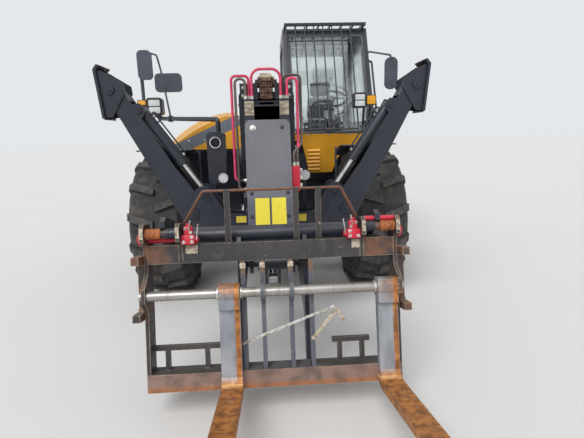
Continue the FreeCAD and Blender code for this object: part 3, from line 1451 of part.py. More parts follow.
def tank_and_steps():
    # fuel tank below the cab floor, stepped toward the door
    x0, x1 = pod_inner_x, 1090
    body = side_plate([(880, 540), (880, 760), (860, 800), (860, cab_floor), (1900, cab_floor),
                       (1900, 540)], x0, 900)
    body = rounded(body, vec(1, 0, 0), 20)
    steps = [block(900, x1, 1000, 1420, z, z + 24) for z in (470, 760)]
    sides = [block(900, x1, y, y + 8, 470, cab_floor) for y in (992, 1420)]
    return fused([body] + steps + sides)


def save(name, shape):
    moved = shape.copy()
    moved.translate(vec(0, front_axle_y, 0))
    moved.exportStep("parts/%s.step" % name)


wheel_tyre, wheel_rim = tyre(), rim()
pieces = []
for end, y in (("front", 0), ("rear", wheelbase)):
    for side_name, side in (("left", 1), ("right", -1)):
        pieces.append(("tyre_%s_%s" % (end, side_name), place_wheel(wheel_tyre, side, y)))
        pieces.append(("rim_%s_%s" % (end, side_name), place_wheel(wheel_rim, side, y)))
        pieces.append(("knuckle_%s_%s" % (end, side_name), knuckle(side, y)))
        pieces.append(("mudguard_%s_%s" % (end, side_name), mudguard(side, y, *mudguard_arc[end])))
    pieces.append(("axle_%s" % end, axle(y)))

pieces += [
    ("chassis_frame", chassis_frame()),
    ("tail_weight", tail_weight()),
    ("stabiliser_frame", stabiliser_frame()),
    ("engine_block", engine_block()),
    ("engine_pod", engine_pod()),
    ("bonnet", bonnet()),
    ("lamp_pod", lamp_pod()),
    ("headlamps", Part.makeCompound(lamp_set())),
    ("work_lamps", Part.makeCompound(work_lamps())),
    ("mirrors", Part.makeCompound(mirrors())),
    ("tank_and_steps", tank_and_steps()),
    ("cab_shell", cab_shell()),
    ("cab_glass", Part.makeCompound([screen_pane(), side_pane(), rear_pane(), roof_pane()])),
    ("cab_door", cab_door()),
    ("door_glass", Part.makeCompound(list(door_panes()))),
    ("cab_guard", Part.makeCompound(cab_guard())),
    ("cab_front_panel", cab_front_panel()),
    ("seat", seat()),
    ("dashboard", dashboard()),
    ("boom_outer", boom_outer()),
    ("boom_mid", boom_mid()),
    ("boom_inner", boom_inner()),
    ("nose_cover", nose_cover()),
    ("boom_chain", boom_chain()),
    ("boom_hoses", Part.makeCompound(boom_hoses() + [valve_block()])),
    ("hitch", hitch()),
    ("fork_frame", fork_frame()),
    ("fork_shaft", fork_shaft()),
    ("fork_right", fork(fork_centres[0])),
    ("fork_left", fork(fork_centres[1])),
    ("lift_barrel", barrel(lift_foot, lift_eye, lift_barrel_diameter, lift_barrel_length, lift_rod_diameter,
                           lift_pin_diameter, 110)),
    ("lift_rod", ram(lift_foot, lift_eye, lift_barrel_length, lift_rod_diameter, lift_pin_diameter, 90,
                     lift_rod_length, 60)),
    ("tilt_barrel", barrel(tilt_foot, tilt_eye, tilt_barrel_diameter, tilt_barrel_length, tilt_rod_diameter,
                           tilt_pin_diameter, 90)),
    ("tilt_rod", ram(tilt_foot, tilt_eye, tilt_barrel_length, tilt_rod_diameter, 36, 56,
                     tilt_rod_length, 31)),
]
for side_name, side in (("left", 1), ("right", -1)):
    group = [("stabiliser_leg", leg()), ("stabiliser_foot", stabiliser_foot()),
             ("stabiliser_barrel", y_barrel(prop_foot, prop_eye, prop_barrel_diameter, prop_barrel_length,
                                            prop_rod_diameter, prop_pin_diameter, 100)),
             ("stabiliser_rod", y_ram(prop_foot, prop_eye, prop_rod_diameter, prop_pin_diameter, 90,
                                       prop_rod_length, 60))]
    for name, shape in group:
        pieces.append(("%s_%s" % (name, side_name), shape if side > 0 else mirrored(shape)))

for name, shape in pieces:
    save(name, shape)
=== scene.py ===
import math

import bmesh
import bpy
from bpy.props import FloatProperty, FloatVectorProperty, IntProperty, PointerProperty
from mathutils import Matrix, Vector
from mathutils.bvhtree import BVHTree


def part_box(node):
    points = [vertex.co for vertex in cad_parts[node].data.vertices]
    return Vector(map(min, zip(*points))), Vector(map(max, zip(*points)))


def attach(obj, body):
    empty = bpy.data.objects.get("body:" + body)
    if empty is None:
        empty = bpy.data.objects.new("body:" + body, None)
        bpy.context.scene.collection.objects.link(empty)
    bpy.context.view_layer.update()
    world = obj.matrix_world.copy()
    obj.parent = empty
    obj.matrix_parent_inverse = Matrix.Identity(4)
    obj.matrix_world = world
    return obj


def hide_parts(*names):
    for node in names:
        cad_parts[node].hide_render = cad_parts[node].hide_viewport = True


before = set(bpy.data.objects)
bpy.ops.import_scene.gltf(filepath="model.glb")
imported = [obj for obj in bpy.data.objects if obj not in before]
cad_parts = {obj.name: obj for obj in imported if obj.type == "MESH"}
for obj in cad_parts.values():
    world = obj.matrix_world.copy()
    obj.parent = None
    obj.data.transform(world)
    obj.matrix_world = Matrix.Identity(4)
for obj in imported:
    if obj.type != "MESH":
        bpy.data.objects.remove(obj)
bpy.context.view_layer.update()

bl_info = {
    "name": "Telescopic handler looks",
    "version": (1, 1, 0),
    "blender": (4, 5, 0),
    "location": "View3D > Sidebar > Handler",
    "description": "Finishes and trim for a telescopic handler with stabilisers and a fork frame",
    "category": "Object",
}

ENDS = [(end, side, sign) for end in ("front", "rear") for side, sign in (("left", 1), ("right", -1))]
SIDES = (("left", 1), ("right", -1))
AXLE_Y = sum(corner.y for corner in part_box("axle_front")) / 2


def middle(node):
    """The centre of a CAD node's box."""
    low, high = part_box(node)
    return (low + high) / 2


def at(x, y, z):
    """A place in millimetres from the front axle, the floor and the machine's middle plane."""
    return Vector((x / 1000, y / 1000 + AXLE_Y, z / 1000))


# The fork frame leans back about its shaft, and the boom slopes down from its pivot.
FRAME_LEAN = math.radians(-12)
FRAME_PLACE = Matrix.Translation(middle("fork_shaft")) @ Matrix.Rotation(FRAME_LEAN, 4, "X")
BOOM_PLACE = Matrix.Translation(at(0, 2900, 1620)) @ Matrix.Rotation(math.radians(2), 4, "X")
BOOM_LENGTH = 3.85235
SCREEN_LEAN = math.atan2(505, 1150)


def tone(red, green, blue):
    """A colour as seen on a screen, 0 to 255, as the linear colour that a shader takes."""
    def channel(value):
        value /= 255
        return value / 12.92 if value <= 0.04045 else ((value + 0.055) / 1.055) ** 2.4
    return tuple(channel(v) for v in (red, green, blue))


def colour_property(name, description, default):
    return FloatVectorProperty(name=name, description=description, default=default,
                               subtype="COLOR", size=3, min=0, max=1)


def length_property(name, description, default):
    return FloatProperty(name=name, description=description, default=default, min=0, unit="LENGTH")


class HandlerColours(bpy.types.PropertyGroup):
    yellow: colour_property("Yellow", "Bodywork paint", tone(230, 165, 42))
    black: colour_property("Black", "Enamel on frames, boom and stabilisers", tone(39, 42, 54))
    cover: colour_property("Cover grey", "Paint of the nose cover", tone(100, 101, 108))
    stripe: colour_property("Stripe grey", "Broad band along the bonnet", tone(110, 116, 126))
    rust: colour_property("Rust", "Rust on bare steel", tone(128, 80, 54))
    dust: colour_property("Dust", "Dry dirt on upward faces", tone(150, 142, 128))
    hook_red: colour_property("Hook red", "Paint of the locking bars", tone(198, 36, 60))
    hose_red: colour_property("Hose red", "Sleeves of the boom hoses", tone(212, 62, 102))
    amber: colour_property("Amber", "Indicator lenses", tone(246, 176, 34))
    plate: colour_property("Plate yellow", "Blank plates on the nose cover", tone(240, 222, 60))
    cloth: colour_property("Seat cloth", "Woven cloth of the seat", tone(74, 77, 84))


class HandlerSizes(bpy.types.PropertyGroup):
    nut: length_property("Wheel nut", "Radius of a wheel nut", 0.017)
    bolt: length_property("Bolt", "Radius of a common bolt head", 0.011)
    nut_circle: length_property("Nut circle", "Radius on which the wheel nuts lie", 0.17)
    nut_count: IntProperty(name="Wheel nuts", description="Nuts on each wheel", default=10, min=4, max=20)
    hub_bolt_circle: length_property("Hub circle", "Radius of the bolts on the hub cover", 0.074)
    seal: length_property("Seal", "Radius of the rubber round the windows", 0.007)
    edge: length_property("Worn edge", "Width of worn paint along edges", 0.004)
    pipe: length_property("Pipe", "Radius of the steel pipes on the cylinders", 0.006)


class HandlerStage(bpy.types.PropertyGroup):
    eye: FloatVectorProperty(name="Eye", description="Camera place", default=(-0.003, -4.286, 1.437),
                             size=3, subtype="XYZ", unit="LENGTH")
    yaw: FloatProperty(name="Yaw", description="Turn to the right", default=math.radians(2.991), subtype="ANGLE")
    pitch: FloatProperty(name="Pitch", description="Look down", default=math.radians(11.622), subtype="ANGLE")
    roll: FloatProperty(name="Roll", description="Tilt of the camera", default=math.radians(1.546), subtype="ANGLE")
    focal_share: FloatProperty(name="Focal share", description="Focal length over picture width",
                               default=420.8 / 584, min=0.1)
    sun: FloatProperty(name="Sun", description="Strength of the soft sun", default=2.1, min=0)
    sky: FloatProperty(name="Sky", description="Strength of the even light", default=0.62, min=0)


def colours():
    return bpy.context.scene.handler_colours


def sizes():
    return bpy.context.scene.handler_sizes


# Materials

class Finish:
    """One procedural material on Object coordinates, with a short name for each step that builds it."""

    def __init__(self, name, origin=None, lean=0.0):
        """With an origin and a lean, places are counted in a piece's own leaning frame."""
        self.material = bpy.data.materials.new(name)
        self.material.use_nodes = True
        self.tree = self.material.node_tree
        self.shader = self.tree.nodes["Principled BSDF"]
        self.place = self.add("ShaderNodeTexCoord").outputs["Object"]
        if origin is not None:
            self.place = self.add("ShaderNodeMapping", {"Vector": self.place, "Location": origin,
                                                        "Rotation": (lean, 0, 0)},
                                  vector_type="TEXTURE").outputs["Vector"]

    def add(self, kind, sockets=None, **settings):
        node = self.tree.nodes.new(kind)
        for key, value in settings.items():
            setattr(node, key, value)
        for key, value in (sockets or {}).items():
            self.feed(node.inputs[key], value)
        return node

    def feed(self, socket, value):
        if isinstance(value, bpy.types.NodeSocket):
            self.tree.links.new(value, socket)
        elif socket.type == "RGBA" and len(value) == 3:
            socket.default_value = (*value, 1)
        else:
            socket.default_value = value

    def set(self, **values):
        for key, value in values.items():
            self.feed(self.shader.inputs[key.replace("_", " ")], value)

    def stretched(self, scale, shift=(0, 0, 0)):
        node = self.add("ShaderNodeMapping", {"Vector": self.place, "Scale": scale, "Location": shift})
        return node.outputs["Vector"]

    def noise(self, scale, detail=4.0, stretch=None, rough=0.55):
        where = self.place if stretch is None else self.stretched(stretch)
        node = self.add("ShaderNodeTexNoise", {"Vector": where, "Scale": scale, "Detail": detail,
                                               "Roughness": rough})
        return node.outputs["Fac"]

    def cells(self, scale):
        return self.add("ShaderNodeTexVoronoi", {"Vector": self.place, "Scale": scale}).outputs["Distance"]

    def ramp(self, value, low, high, first=0.0, last=1.0):
        node = self.add("ShaderNodeMapRange", {"Value": value, "From Min": low, "From Max": high,
                                               "To Min": first, "To Max": last}, interpolation_type="SMOOTHSTEP")
        return node.outputs["Result"]

    def sum_of(self, operation, first, second):
        node = self.add("ShaderNodeMath", operation=operation)
        self.feed(node.inputs[0], first)
        self.feed(node.inputs[1], second)
        return node.outputs[0]

    def both(self, *masks):
        """Where all of several masks hold."""
        whole = masks[0]
        for mask in masks[1:]:
            whole = self.sum_of("MULTIPLY", whole, mask)
        return whole

    def either(self, *masks):
        """Where any of several masks holds."""
        whole = masks[0]
        for mask in masks[1:]:
            whole = self.sum_of("MAXIMUM", whole, mask)
        return whole

    def mix(self, share, first, second):
        node = self.add("ShaderNodeMix", data_type="RGBA")
        self.feed(node.inputs["Factor"], share)
        self.feed(node.inputs[6], first)
        self.feed(node.inputs[7], second)
        return node.outputs[2]

    def part_of(self, axis):
        return self.add("ShaderNodeSeparateXYZ", {"Vector": self.place}).outputs[axis]

    def distance_out(self):
        """How far a place lies from the machine's middle plane."""
        node = self.add("ShaderNodeMath", operation="ABSOLUTE")
        self.feed(node.inputs[0], self.part_of("X"))
        return node.outputs[0]

    def over(self, value, limit, soft=0.003):
        return self.ramp(value, limit - soft, limit + soft)

    def between(self, value, low, high, soft=0.003):
        return self.both(self.over(value, low, soft), self.ramp(value, high - soft, high + soft, 1.0, 0.0))

    def facing(self, axis, low=0.35, high=1.0):
        """1 where a face looks along an axis, 0 where it looks away."""
        normal = self.add("ShaderNodeNewGeometry").outputs["Normal"]
        share = self.add("ShaderNodeSeparateXYZ", {"Vector": normal}).outputs[axis]
        return self.ramp(share, low, high)

    def edges(self, width):
        """1 on sharp outer edges and inner corners, 0 on flat faces."""
        soft = self.add("ShaderNodeBevel", {"Radius": width}, samples=4).outputs["Normal"]
        plain = self.add("ShaderNodeNewGeometry").outputs["Normal"]
        node = self.add("ShaderNodeVectorMath", operation="DOT_PRODUCT")
        self.feed(node.inputs[0], soft)
        self.feed(node.inputs[1], plain)
        return self.ramp(node.outputs["Value"], 0.99, 0.86)

    def relief(self, height, strength, distance=0.001):
        node = self.add("ShaderNodeBump", {"Height": height, "Strength": strength, "Distance": distance})
        self.feed(self.shader.inputs["Normal"], node.outputs["Normal"])


def shade(colour, share):
    return tuple(channel * share for channel in colour)


def enamel(name, colour, bare, dust=0.35, chips=0.5, gloss=0.38, faded=None, regions=None, own=()):
    """Weathered paint: uneven tone, rain streaks, chipped edges, dust on what faces up."""
    f = Finish(name, *own)
    c = colours()
    clouds = f.ramp(f.noise(2.3, 5), 0.32, 0.68)
    base = f.mix(clouds, shade(colour, 0.84), faded or shade(colour, 1.16))
    if regions:
        base = regions(f, base)
    streaks = f.ramp(f.noise(9, 5, (1, 1, 0.12)), 0.54, 0.76, 0.0, 0.4)
    base = f.mix(streaks, base, f.mix(0.5, base, shade(colour, 0.4)))
    fine = f.ramp(f.noise(55, 3), 0.6, 0.76, 0.0, 0.7 * dust)
    base = f.mix(fine, base, f.mix(0.5, shade(colour, 0.9), c.dust))
    spots = f.noise(70, 4)
    worn = f.both(f.edges(sizes().edge), f.ramp(spots, 0.62 - 0.3 * chips, 0.72 - 0.25 * chips))
    scratches = f.ramp(f.noise(26, 2, (1, 7, 1.6)), 0.745 - 0.03 * chips, 0.77)
    bared = f.either(worn, f.sum_of("MULTIPLY", scratches, 0.6))
    base = f.mix(bared, base, bare)
    settled = f.both(f.facing("Z"), f.ramp(f.noise(6, 6), 0.25, 0.75, 0.25, 1.0))
    splash = f.ramp(f.noise(14, 7), 0.55, 0.8, 0.0, 0.6)
    low = f.ramp(f.part_of("Z"), 1.1, 0.25)
    dirt = f.sum_of("MULTIPLY", f.either(settled, f.both(splash, low)), dust)
    f.set(Base_Color=f.mix(dirt, base, tuple(c.dust)))
    roughness = f.sum_of("ADD", f.ramp(f.noise(18, 4), 0.3, 0.7, gloss - 0.06, gloss + 0.1),
                         f.sum_of("MULTIPLY", f.either(dirt, bared), 0.35))
    f.set(Roughness=roughness)
    f.relief(f.sum_of("SUBTRACT", f.sum_of("MULTIPLY", f.noise(240, 2), 0.25), f.sum_of("MULTIPLY", bared, 0.8)),
             0.35, 0.0008)
    return f.material


def yellow_paint():
    return enamel("yellow_paint", tuple(colours().yellow), tone(92, 74, 50), dust=0.22, chips=0.3, gloss=0.36)


def black_enamel():
    return enamel("black_enamel", tuple(colours().black), tone(96, 88, 84), dust=0.16, chips=0.34, gloss=0.33)


def nose_paint_and_shade():
    """Grey above the guard rod, with painted shade making it darker below the rod, and the seam between its two lower
    sheets.
    """
    def regions(f, base):
        height = f.part_of("Z")
        # Painted shade: the sheet below the guard rod is darkened and tinted blue-grey where it turns away from the
        # light.
        base = f.mix(f.ramp(height, 1.04, 0.98), base, tone(80, 84, 98))
        seam = f.both(f.between(f.part_of("X"), -0.003, 0.001, 0.0008), f.ramp(height, 1.03, 1.02))
        scuffs = f.ramp(f.noise(7, 5, (1, 1, 0.5)), 0.6, 0.72, 0.0, 0.3)
        return f.mix(seam, f.mix(scuffs, base, tone(136, 132, 124)), tone(24, 24, 30))
    return enamel("cover_grey_paint_and_shade", tuple(colours().cover), tone(70, 62, 58), dust=0.16, chips=0.24, gloss=0.42,
                  regions=regions)


def nose_enamel():
    """Black enamel, with pale pads on the two blocks above the nose cover."""
    def regions(f, base):
        pads = f.both(f.over(f.distance_out(), 0.086, 0.001), f.between(f.part_of("Z"), 1.556, 1.646),
                      f.ramp(f.part_of("Y"), -1.33, -1.34))
        bands = f.ramp(f.noise(60, 2, (0.2, 0.2, 1)), 0.4, 0.6)
        return f.mix(pads, base, f.mix(bands, tone(126, 116, 102), tone(184, 172, 148)))
    return enamel("nose_enamel", tuple(colours().black), tone(96, 88, 84), dust=0.2, chips=0.4, regions=regions)


def beam_paint():
    """Near-black paint with pale worn edges, its ends, its rod and its lower beam gone to rust."""
    rust = tuple(colours().rust)

    def regions(f, base):
        out, up, back = f.distance_out(), f.part_of("Z"), f.part_of("Y")
        brown = f.mix(f.ramp(f.noise(16, 6), 0.35, 0.65), shade(rust, 0.7), shade(rust, 1.3))
        ends = f.both(f.over(out, 0.475), f.over(up, -0.14))
        base = f.mix(f.sum_of("MULTIPLY", ends, f.ramp(f.noise(9, 5), 0.42, 0.66, 0.04, 0.6)), base, brown)
        uprights = f.both(f.ramp(out, 0.23, 0.225), f.between(up, -0.4, 0.155))
        base = f.mix(uprights, base, f.mix(f.noise(6, 4), tone(66, 70, 84), tone(96, 100, 112)))
        base = f.mix(f.both(uprights, f.over(up, 0.09, 0.02)), base, tone(112, 88, 72))
        lower = f.both(f.ramp(up, -0.395, -0.4), f.facing("Z", 0.6, 0.3))
        base = f.mix(f.sum_of("MULTIPLY", lower, f.ramp(f.noise(12, 6), 0.3, 0.6, 0.35, 1.0)), base,
                     f.mix(f.ramp(up, -0.455, -0.482), tone(138, 110, 98), tone(158, 100, 60)))
        bars = (-0.224, 0.13, 0.246)
        posts = f.either(*(f.between(f.part_of("X"), x - 0.016, x + 0.016, 0.001) for x in bars))
        rod = f.both(f.over(up, 0.362, 0.001), f.sum_of("SUBTRACT", 1.0, posts))
        base = f.mix(rod, base, f.mix(f.noise(30, 4), tone(74, 46, 36), tone(134, 84, 56)))
        rims = f.both(f.edges(0.006), f.over(out, 0.45), f.ramp(back, 0.06, 0.03), f.ramp(f.noise(30), 0.35, 0.5))
        return f.mix(rims, base, tone(206, 190, 160))
    return enamel("worn_beam_paint", tone(47, 46, 50), tone(172, 150, 128), dust=0.3, chips=0.8, gloss=0.46,
                  faded=tone(66, 62, 62), regions=regions, own=(middle("fork_shaft"), FRAME_LEAN))


def red_paint():
    return enamel("red_paint", tuple(colours().hook_red), tone(104, 70, 60), dust=0.2, chips=0.5, gloss=0.4)


def rim_paint():
    return enamel("rim_paint", tone(178, 176, 168), tone(110, 84, 66), dust=0.5, chips=0.6, gloss=0.45)


def hose_sleeves():
    """Red and black sleeves, by the place that each hose runs through, and the red valve block."""
    def regions(f, base):
        x, up = f.part_of("X"), f.part_of("Z")
        loop = f.both(f.between(x, -0.128, 0.106, 0.001), f.over(up, 1.66))
        outer = f.either(f.ramp(x, -0.2165, -0.2185), f.both(f.ramp(x, 0.001, -0.001), f.over(up, 1.801)))
        inner = f.both(f.between(x, 0.128, 0.2175, 0.001), f.between(up, 1.34, 1.801))
        red = f.mix(f.ramp(f.noise(18, 4), 0.3, 0.7), shade(tuple(colours().hose_red), 0.8),
                    shade(tuple(colours().hose_red), 1.15))
        base = f.mix(f.either(loop, outer, inner), base, red)
        block = f.both(f.over(x, 0.145, 0.001), f.ramp(up, 1.2165, 1.2145))
        base = f.mix(block, base, tuple(colours().hook_red))
        return f.mix(f.both(f.over(x, 0.2055, 0.0005), f.ramp(up, 1.2165, 1.2145)), base, tone(206, 204, 196))
    return enamel("hose_sleeves", tone(66, 60, 58), tone(120, 108, 96), dust=0.2, chips=0.1, gloss=0.5,
                  faded=tone(104, 92, 84), regions=regions)


def chain_steel():
    """Greased brown links under a pale worn roller."""
    f = Finish("chain_steel")
    up = f.part_of("Z")
    links = f.mix(f.ramp(f.noise(60, 4), 0.35, 0.65), tone(50, 40, 38), tone(118, 88, 66))
    pale = f.mix(f.ramp(f.noise(24, 4), 0.3, 0.7), tone(126, 118, 100), tone(196, 184, 160))
    f.set(Base_Color=f.mix(f.ramp(up, 1.79, 1.812), links, pale), Metallic=0.35,
          Roughness=f.ramp(f.noise(40), 0.3, 0.7, 0.42, 0.66))
    f.relief(f.noise(120, 4), 0.3, 0.0008)
    return f.material


def bonnet_paint():
    """Yellow paint with a broad grey band that sweeps up from the outer edge."""
    def regions(f, base):
        x, up = f.part_of("X"), f.part_of("Z")
        along = f.ramp(f.part_of("Y"), AXLE_Y + 0.4, AXLE_Y + 1.5, 0.0, 0.03)
        level = f.sum_of("SUBTRACT", f.sum_of("SUBTRACT", up, f.sum_of("MULTIPLY", x, 0.44)), along)
        band = f.between(level, 1.64, 1.762, 0.002)
        grey = tuple(colours().stripe)
        return f.mix(band, base, f.mix(f.noise(3, 4), shade(grey, 0.85), shade(grey, 1.12)))
    return enamel("bonnet_paint", tuple(colours().yellow), tone(92, 74, 50), dust=0.24, chips=0.2, gloss=0.34,
                  regions=regions)


def tyre_rubber(wheel, centre):
    """Dark rubber with a little dust in the tread and toward the rim."""
    f = Finish(f"tyre_rubber_{wheel}")
    place = f.stretched((0, 1, 1), shift=(0, -centre.y, -centre.z))
    radius = f.add("ShaderNodeVectorMath", {0: place}, operation="LENGTH").outputs["Value"]
    base = f.mix(f.ramp(f.noise(7, 6), 0.3, 0.7), tone(47, 46, 47), tone(64, 62, 61))
    dust = f.both(f.ramp(f.noise(9, 8), 0.5, 0.74), f.ramp(radius, 0.45, 0.6, 0.25, 0.42))
    scuffed = f.both(f.over(radius, 0.618, 0.004), f.ramp(f.noise(24, 4), 0.35, 0.6, 0.1, 0.5))
    base = f.mix(dust, base, tone(122, 114, 102))
    f.set(Base_Color=f.mix(scuffed, base, tone(98, 95, 92)),
          Roughness=f.ramp(f.noise(30), 0.3, 0.7, 0.7, 0.9))
    f.relief(f.sum_of("ADD", f.noise(160, 4), dust), 0.4, 0.0015)
    return f.material


def iron(name="cast_iron", first=tone(48, 50, 54), second=tone(78, 74, 72)):
    f = Finish(name)
    c = colours()
    base = f.mix(f.ramp(f.noise(6, 6), 0.3, 0.7), first, second)
    rust = f.ramp(f.noise(17, 7), 0.58, 0.74, 0.0, 0.7)
    base = f.mix(rust, base, tuple(c.rust))
    dirt = f.sum_of("MULTIPLY", f.facing("Z"), 0.4)
    f.set(Base_Color=f.mix(dirt, base, tuple(c.dust)), Roughness=f.ramp(f.noise(25), 0.3, 0.7, 0.55, 0.8),
          Metallic=0.25)
    f.relief(f.noise(90, 6), 0.5, 0.0015)
    return f.material


def fork_steel():
    """Rolled steel: blue-grey shanks with a rusted side, a painted highlight where each blade bends up into its shank,
    and rust orange blades.
    """
    f = Finish("fork_steel", middle("fork_shaft"), FRAME_LEAN)
    x, up = f.part_of("X"), f.part_of("Z")
    grey = f.mix(f.ramp(f.noise(8, 6, (1, 1, 0.4)), 0.3, 0.7), tone(124, 128, 136), tone(166, 170, 176))
    brown = f.mix(f.ramp(f.noise(26, 6), 0.35, 0.65), tone(130, 82, 42), tone(190, 126, 62))
    sides = f.either(f.between(x, -0.198, -0.172, 0.005), f.between(x, 0.598, 0.624, 0.005))
    sides = f.both(sides, f.ramp(f.noise(14, 5, (1, 1, 0.25)), 0.3, 0.5, 0.3, 1.0))
    blade = f.ramp(up, -0.40, -0.452)
    patch = f.ramp(f.noise(6, 6, (1, 1, 0.5)), 0.56, 0.7, 0.0, 0.55)
    top = f.both(f.over(up, 0.0, 0.03), f.ramp(f.noise(10, 4), 0.4, 0.55, 0.1, 0.75))
    base = f.mix(f.either(sides, blade, patch, top), grey, brown)
    # Painted highlight: a pale glint along the top of each blade where it bends up into the shank.
    heel_highlight = f.both(f.between(up, -0.466, -0.448, 0.006), f.over(f.part_of("Y"), -0.05, 0.02),
                  f.ramp(f.noise(30, 3), 0.3, 0.5, 0.4, 1.0))
    base = f.mix(heel_highlight, base, tone(250, 206, 150))
    scraped = f.both(f.ramp(f.noise(14, 3, (1, 0.12, 1)), 0.6, 0.75, 0.0, 0.3), blade)
    base = f.mix(scraped, base, tone(164, 112, 66))
    base = f.mix(f.both(f.edges(0.005), f.ramp(f.noise(30), 0.4, 0.55, 0.2, 0.9)), base, tone(74, 58, 48))
    f.set(Base_Color=base, Metallic=0.3, Roughness=f.ramp(f.noise(30), 0.3, 0.7, 0.4, 0.66))
    f.relief(f.noise(60, 7), 0.35, 0.0012)
    return f.material


def bare_steel(name, first, second, marks, metal, rough):
    """Bright bars and rods, with faint turned rings, streaks and specks."""
    f = Finish(name)
    rings = f.noise(120, 2, (1, 0.02, 0.02))
    streaks = f.ramp(f.noise(16, 4, (1, 0.3, 0.3)), 0.5, 0.72, 0.0, 0.6)
    specks = f.ramp(f.noise(90, 5), 0.62, 0.76, 0.0, 0.6)
    base = f.mix(f.noise(4, 4), first, second)
    base = f.mix(f.either(streaks, specks), base, marks)
    f.set(Base_Color=base, Metallic=metal, Roughness=f.ramp(rings, 0.3, 0.7, rough, rough + 0.16))
    f.relief(rings, 0.06, 0.0004)
    return f.material


def glass(name, colour, roughness=0.03):
    f = Finish(name)
    f.set(Base_Color=colour, Roughness=f.ramp(f.noise(3, 5), 0.4, 0.8, roughness, roughness + 0.14),
          Transmission_Weight=1.0, IOR=1.45)
    f.set(Alpha=0.5)
    return f.material


def moulded(name, colour, gloss=0.5):
    """Moulded plastic with a fine grain and dust on top."""
    f = Finish(name)
    c = colours()
    base = f.mix(f.ramp(f.noise(5, 5), 0.3, 0.7), shade(colour, 0.85), shade(colour, 1.3))
    dirt = f.both(f.facing("Z"), f.ramp(f.noise(9, 6), 0.3, 0.7, 0.1, 0.4))
    f.set(Base_Color=f.mix(dirt, base, tuple(c.dust)), Roughness=f.ramp(f.noise(12), 0.3, 0.7, gloss, gloss + 0.2))
    f.relief(f.cells(420), 0.12, 0.0005)
    return f.material


def seat_cloth():
    f = Finish("seat_cloth")
    colour = tuple(colours().cloth)
    weave = f.both(f.noise(500, 1, (1, 0.1, 1)), f.noise(500, 1, (0.1, 1, 1)))
    base = f.mix(f.ramp(weave, 0.15, 0.35), shade(colour, 0.6), shade(colour, 1.25))
    f.set(Base_Color=f.mix(f.ramp(f.noise(5, 5), 0.45, 0.8, 0, 0.4), base, tone(112, 108, 100)), Roughness=0.92,
          Sheen_Weight=0.25)
    f.relief(weave, 0.6, 0.0012)
    return f.material


def lens(name, colour, glow):
    f = Finish(name)
    f.set(Base_Color=f.mix(f.noise(20, 3), shade(colour, 0.85), colour),
          Roughness=f.ramp(f.noise(30), 0.3, 0.7, 0.12, 0.24), Transmission_Weight=0.2, IOR=1.49)
    f.feed(f.shader.inputs["Emission Color"], shade(colour, 0.6))
    f.feed(f.shader.inputs["Emission Strength"], glow)
    f.relief(f.cells(260), 0.2, 0.001)
    return f.material


def lamp_glass():
    """Clear ribbed glass over a silvered bowl."""
    f = Finish("lamp_glass")
    ribs = f.add("ShaderNodeTexWave", {"Vector": f.place, "Scale": 38.0, "Distortion": 0.4}, bands_direction="X")
    facets = f.ramp(f.cells(60), 0.1, 0.6)
    base = f.mix(ribs.outputs["Fac"], tone(214, 218, 222), tone(252, 252, 250))
    f.set(Base_Color=f.mix(f.sum_of("MULTIPLY", facets, 0.22), base, tone(120, 130, 128)), Metallic=0.08,
          Roughness=f.ramp(f.noise(22), 0.3, 0.7, 0.08, 0.2), Coat_Weight=1.0, Coat_Roughness=0.04)
    f.relief(ribs.outputs["Fac"], 0.4, 0.002)
    return f.material


def mirror_glass():
    f = Finish("mirror_glass")
    f.set(Base_Color=f.mix(f.noise(6, 4), tone(200, 206, 210), tone(226, 230, 232)), Metallic=1.0,
          Roughness=f.ramp(f.noise(9, 5), 0.4, 0.8, 0.03, 0.14))
    return f.material


def marked_plate(name, colour, marks):
    """A painted plate with scuffs and no words."""
    f = Finish(name)
    scuffs = f.ramp(f.noise(30, 5), 0.56, 0.74, 0.0, 0.35)
    f.set(Base_Color=f.mix(scuffs, f.mix(f.noise(6, 3), shade(colour, 0.9), colour), marks),
          Roughness=f.ramp(f.noise(12), 0.3, 0.7, 0.35, 0.5))
    f.relief(f.noise(50, 3), 0.1, 0.0005)
    return f.material


def scaled_steel(name, first, second, metal, low, high):
    """Plated or worn bare steel with grain at the scale of a bolt head."""
    f = Finish(name)
    f.set(Base_Color=f.mix(f.ramp(f.noise(60, 4), 0.4, 0.7), first, second), Metallic=metal,
          Roughness=f.ramp(f.noise(80), 0.3, 0.7, low, high))
    f.relief(f.noise(200, 2), 0.2, 0.0005)
    return f.material


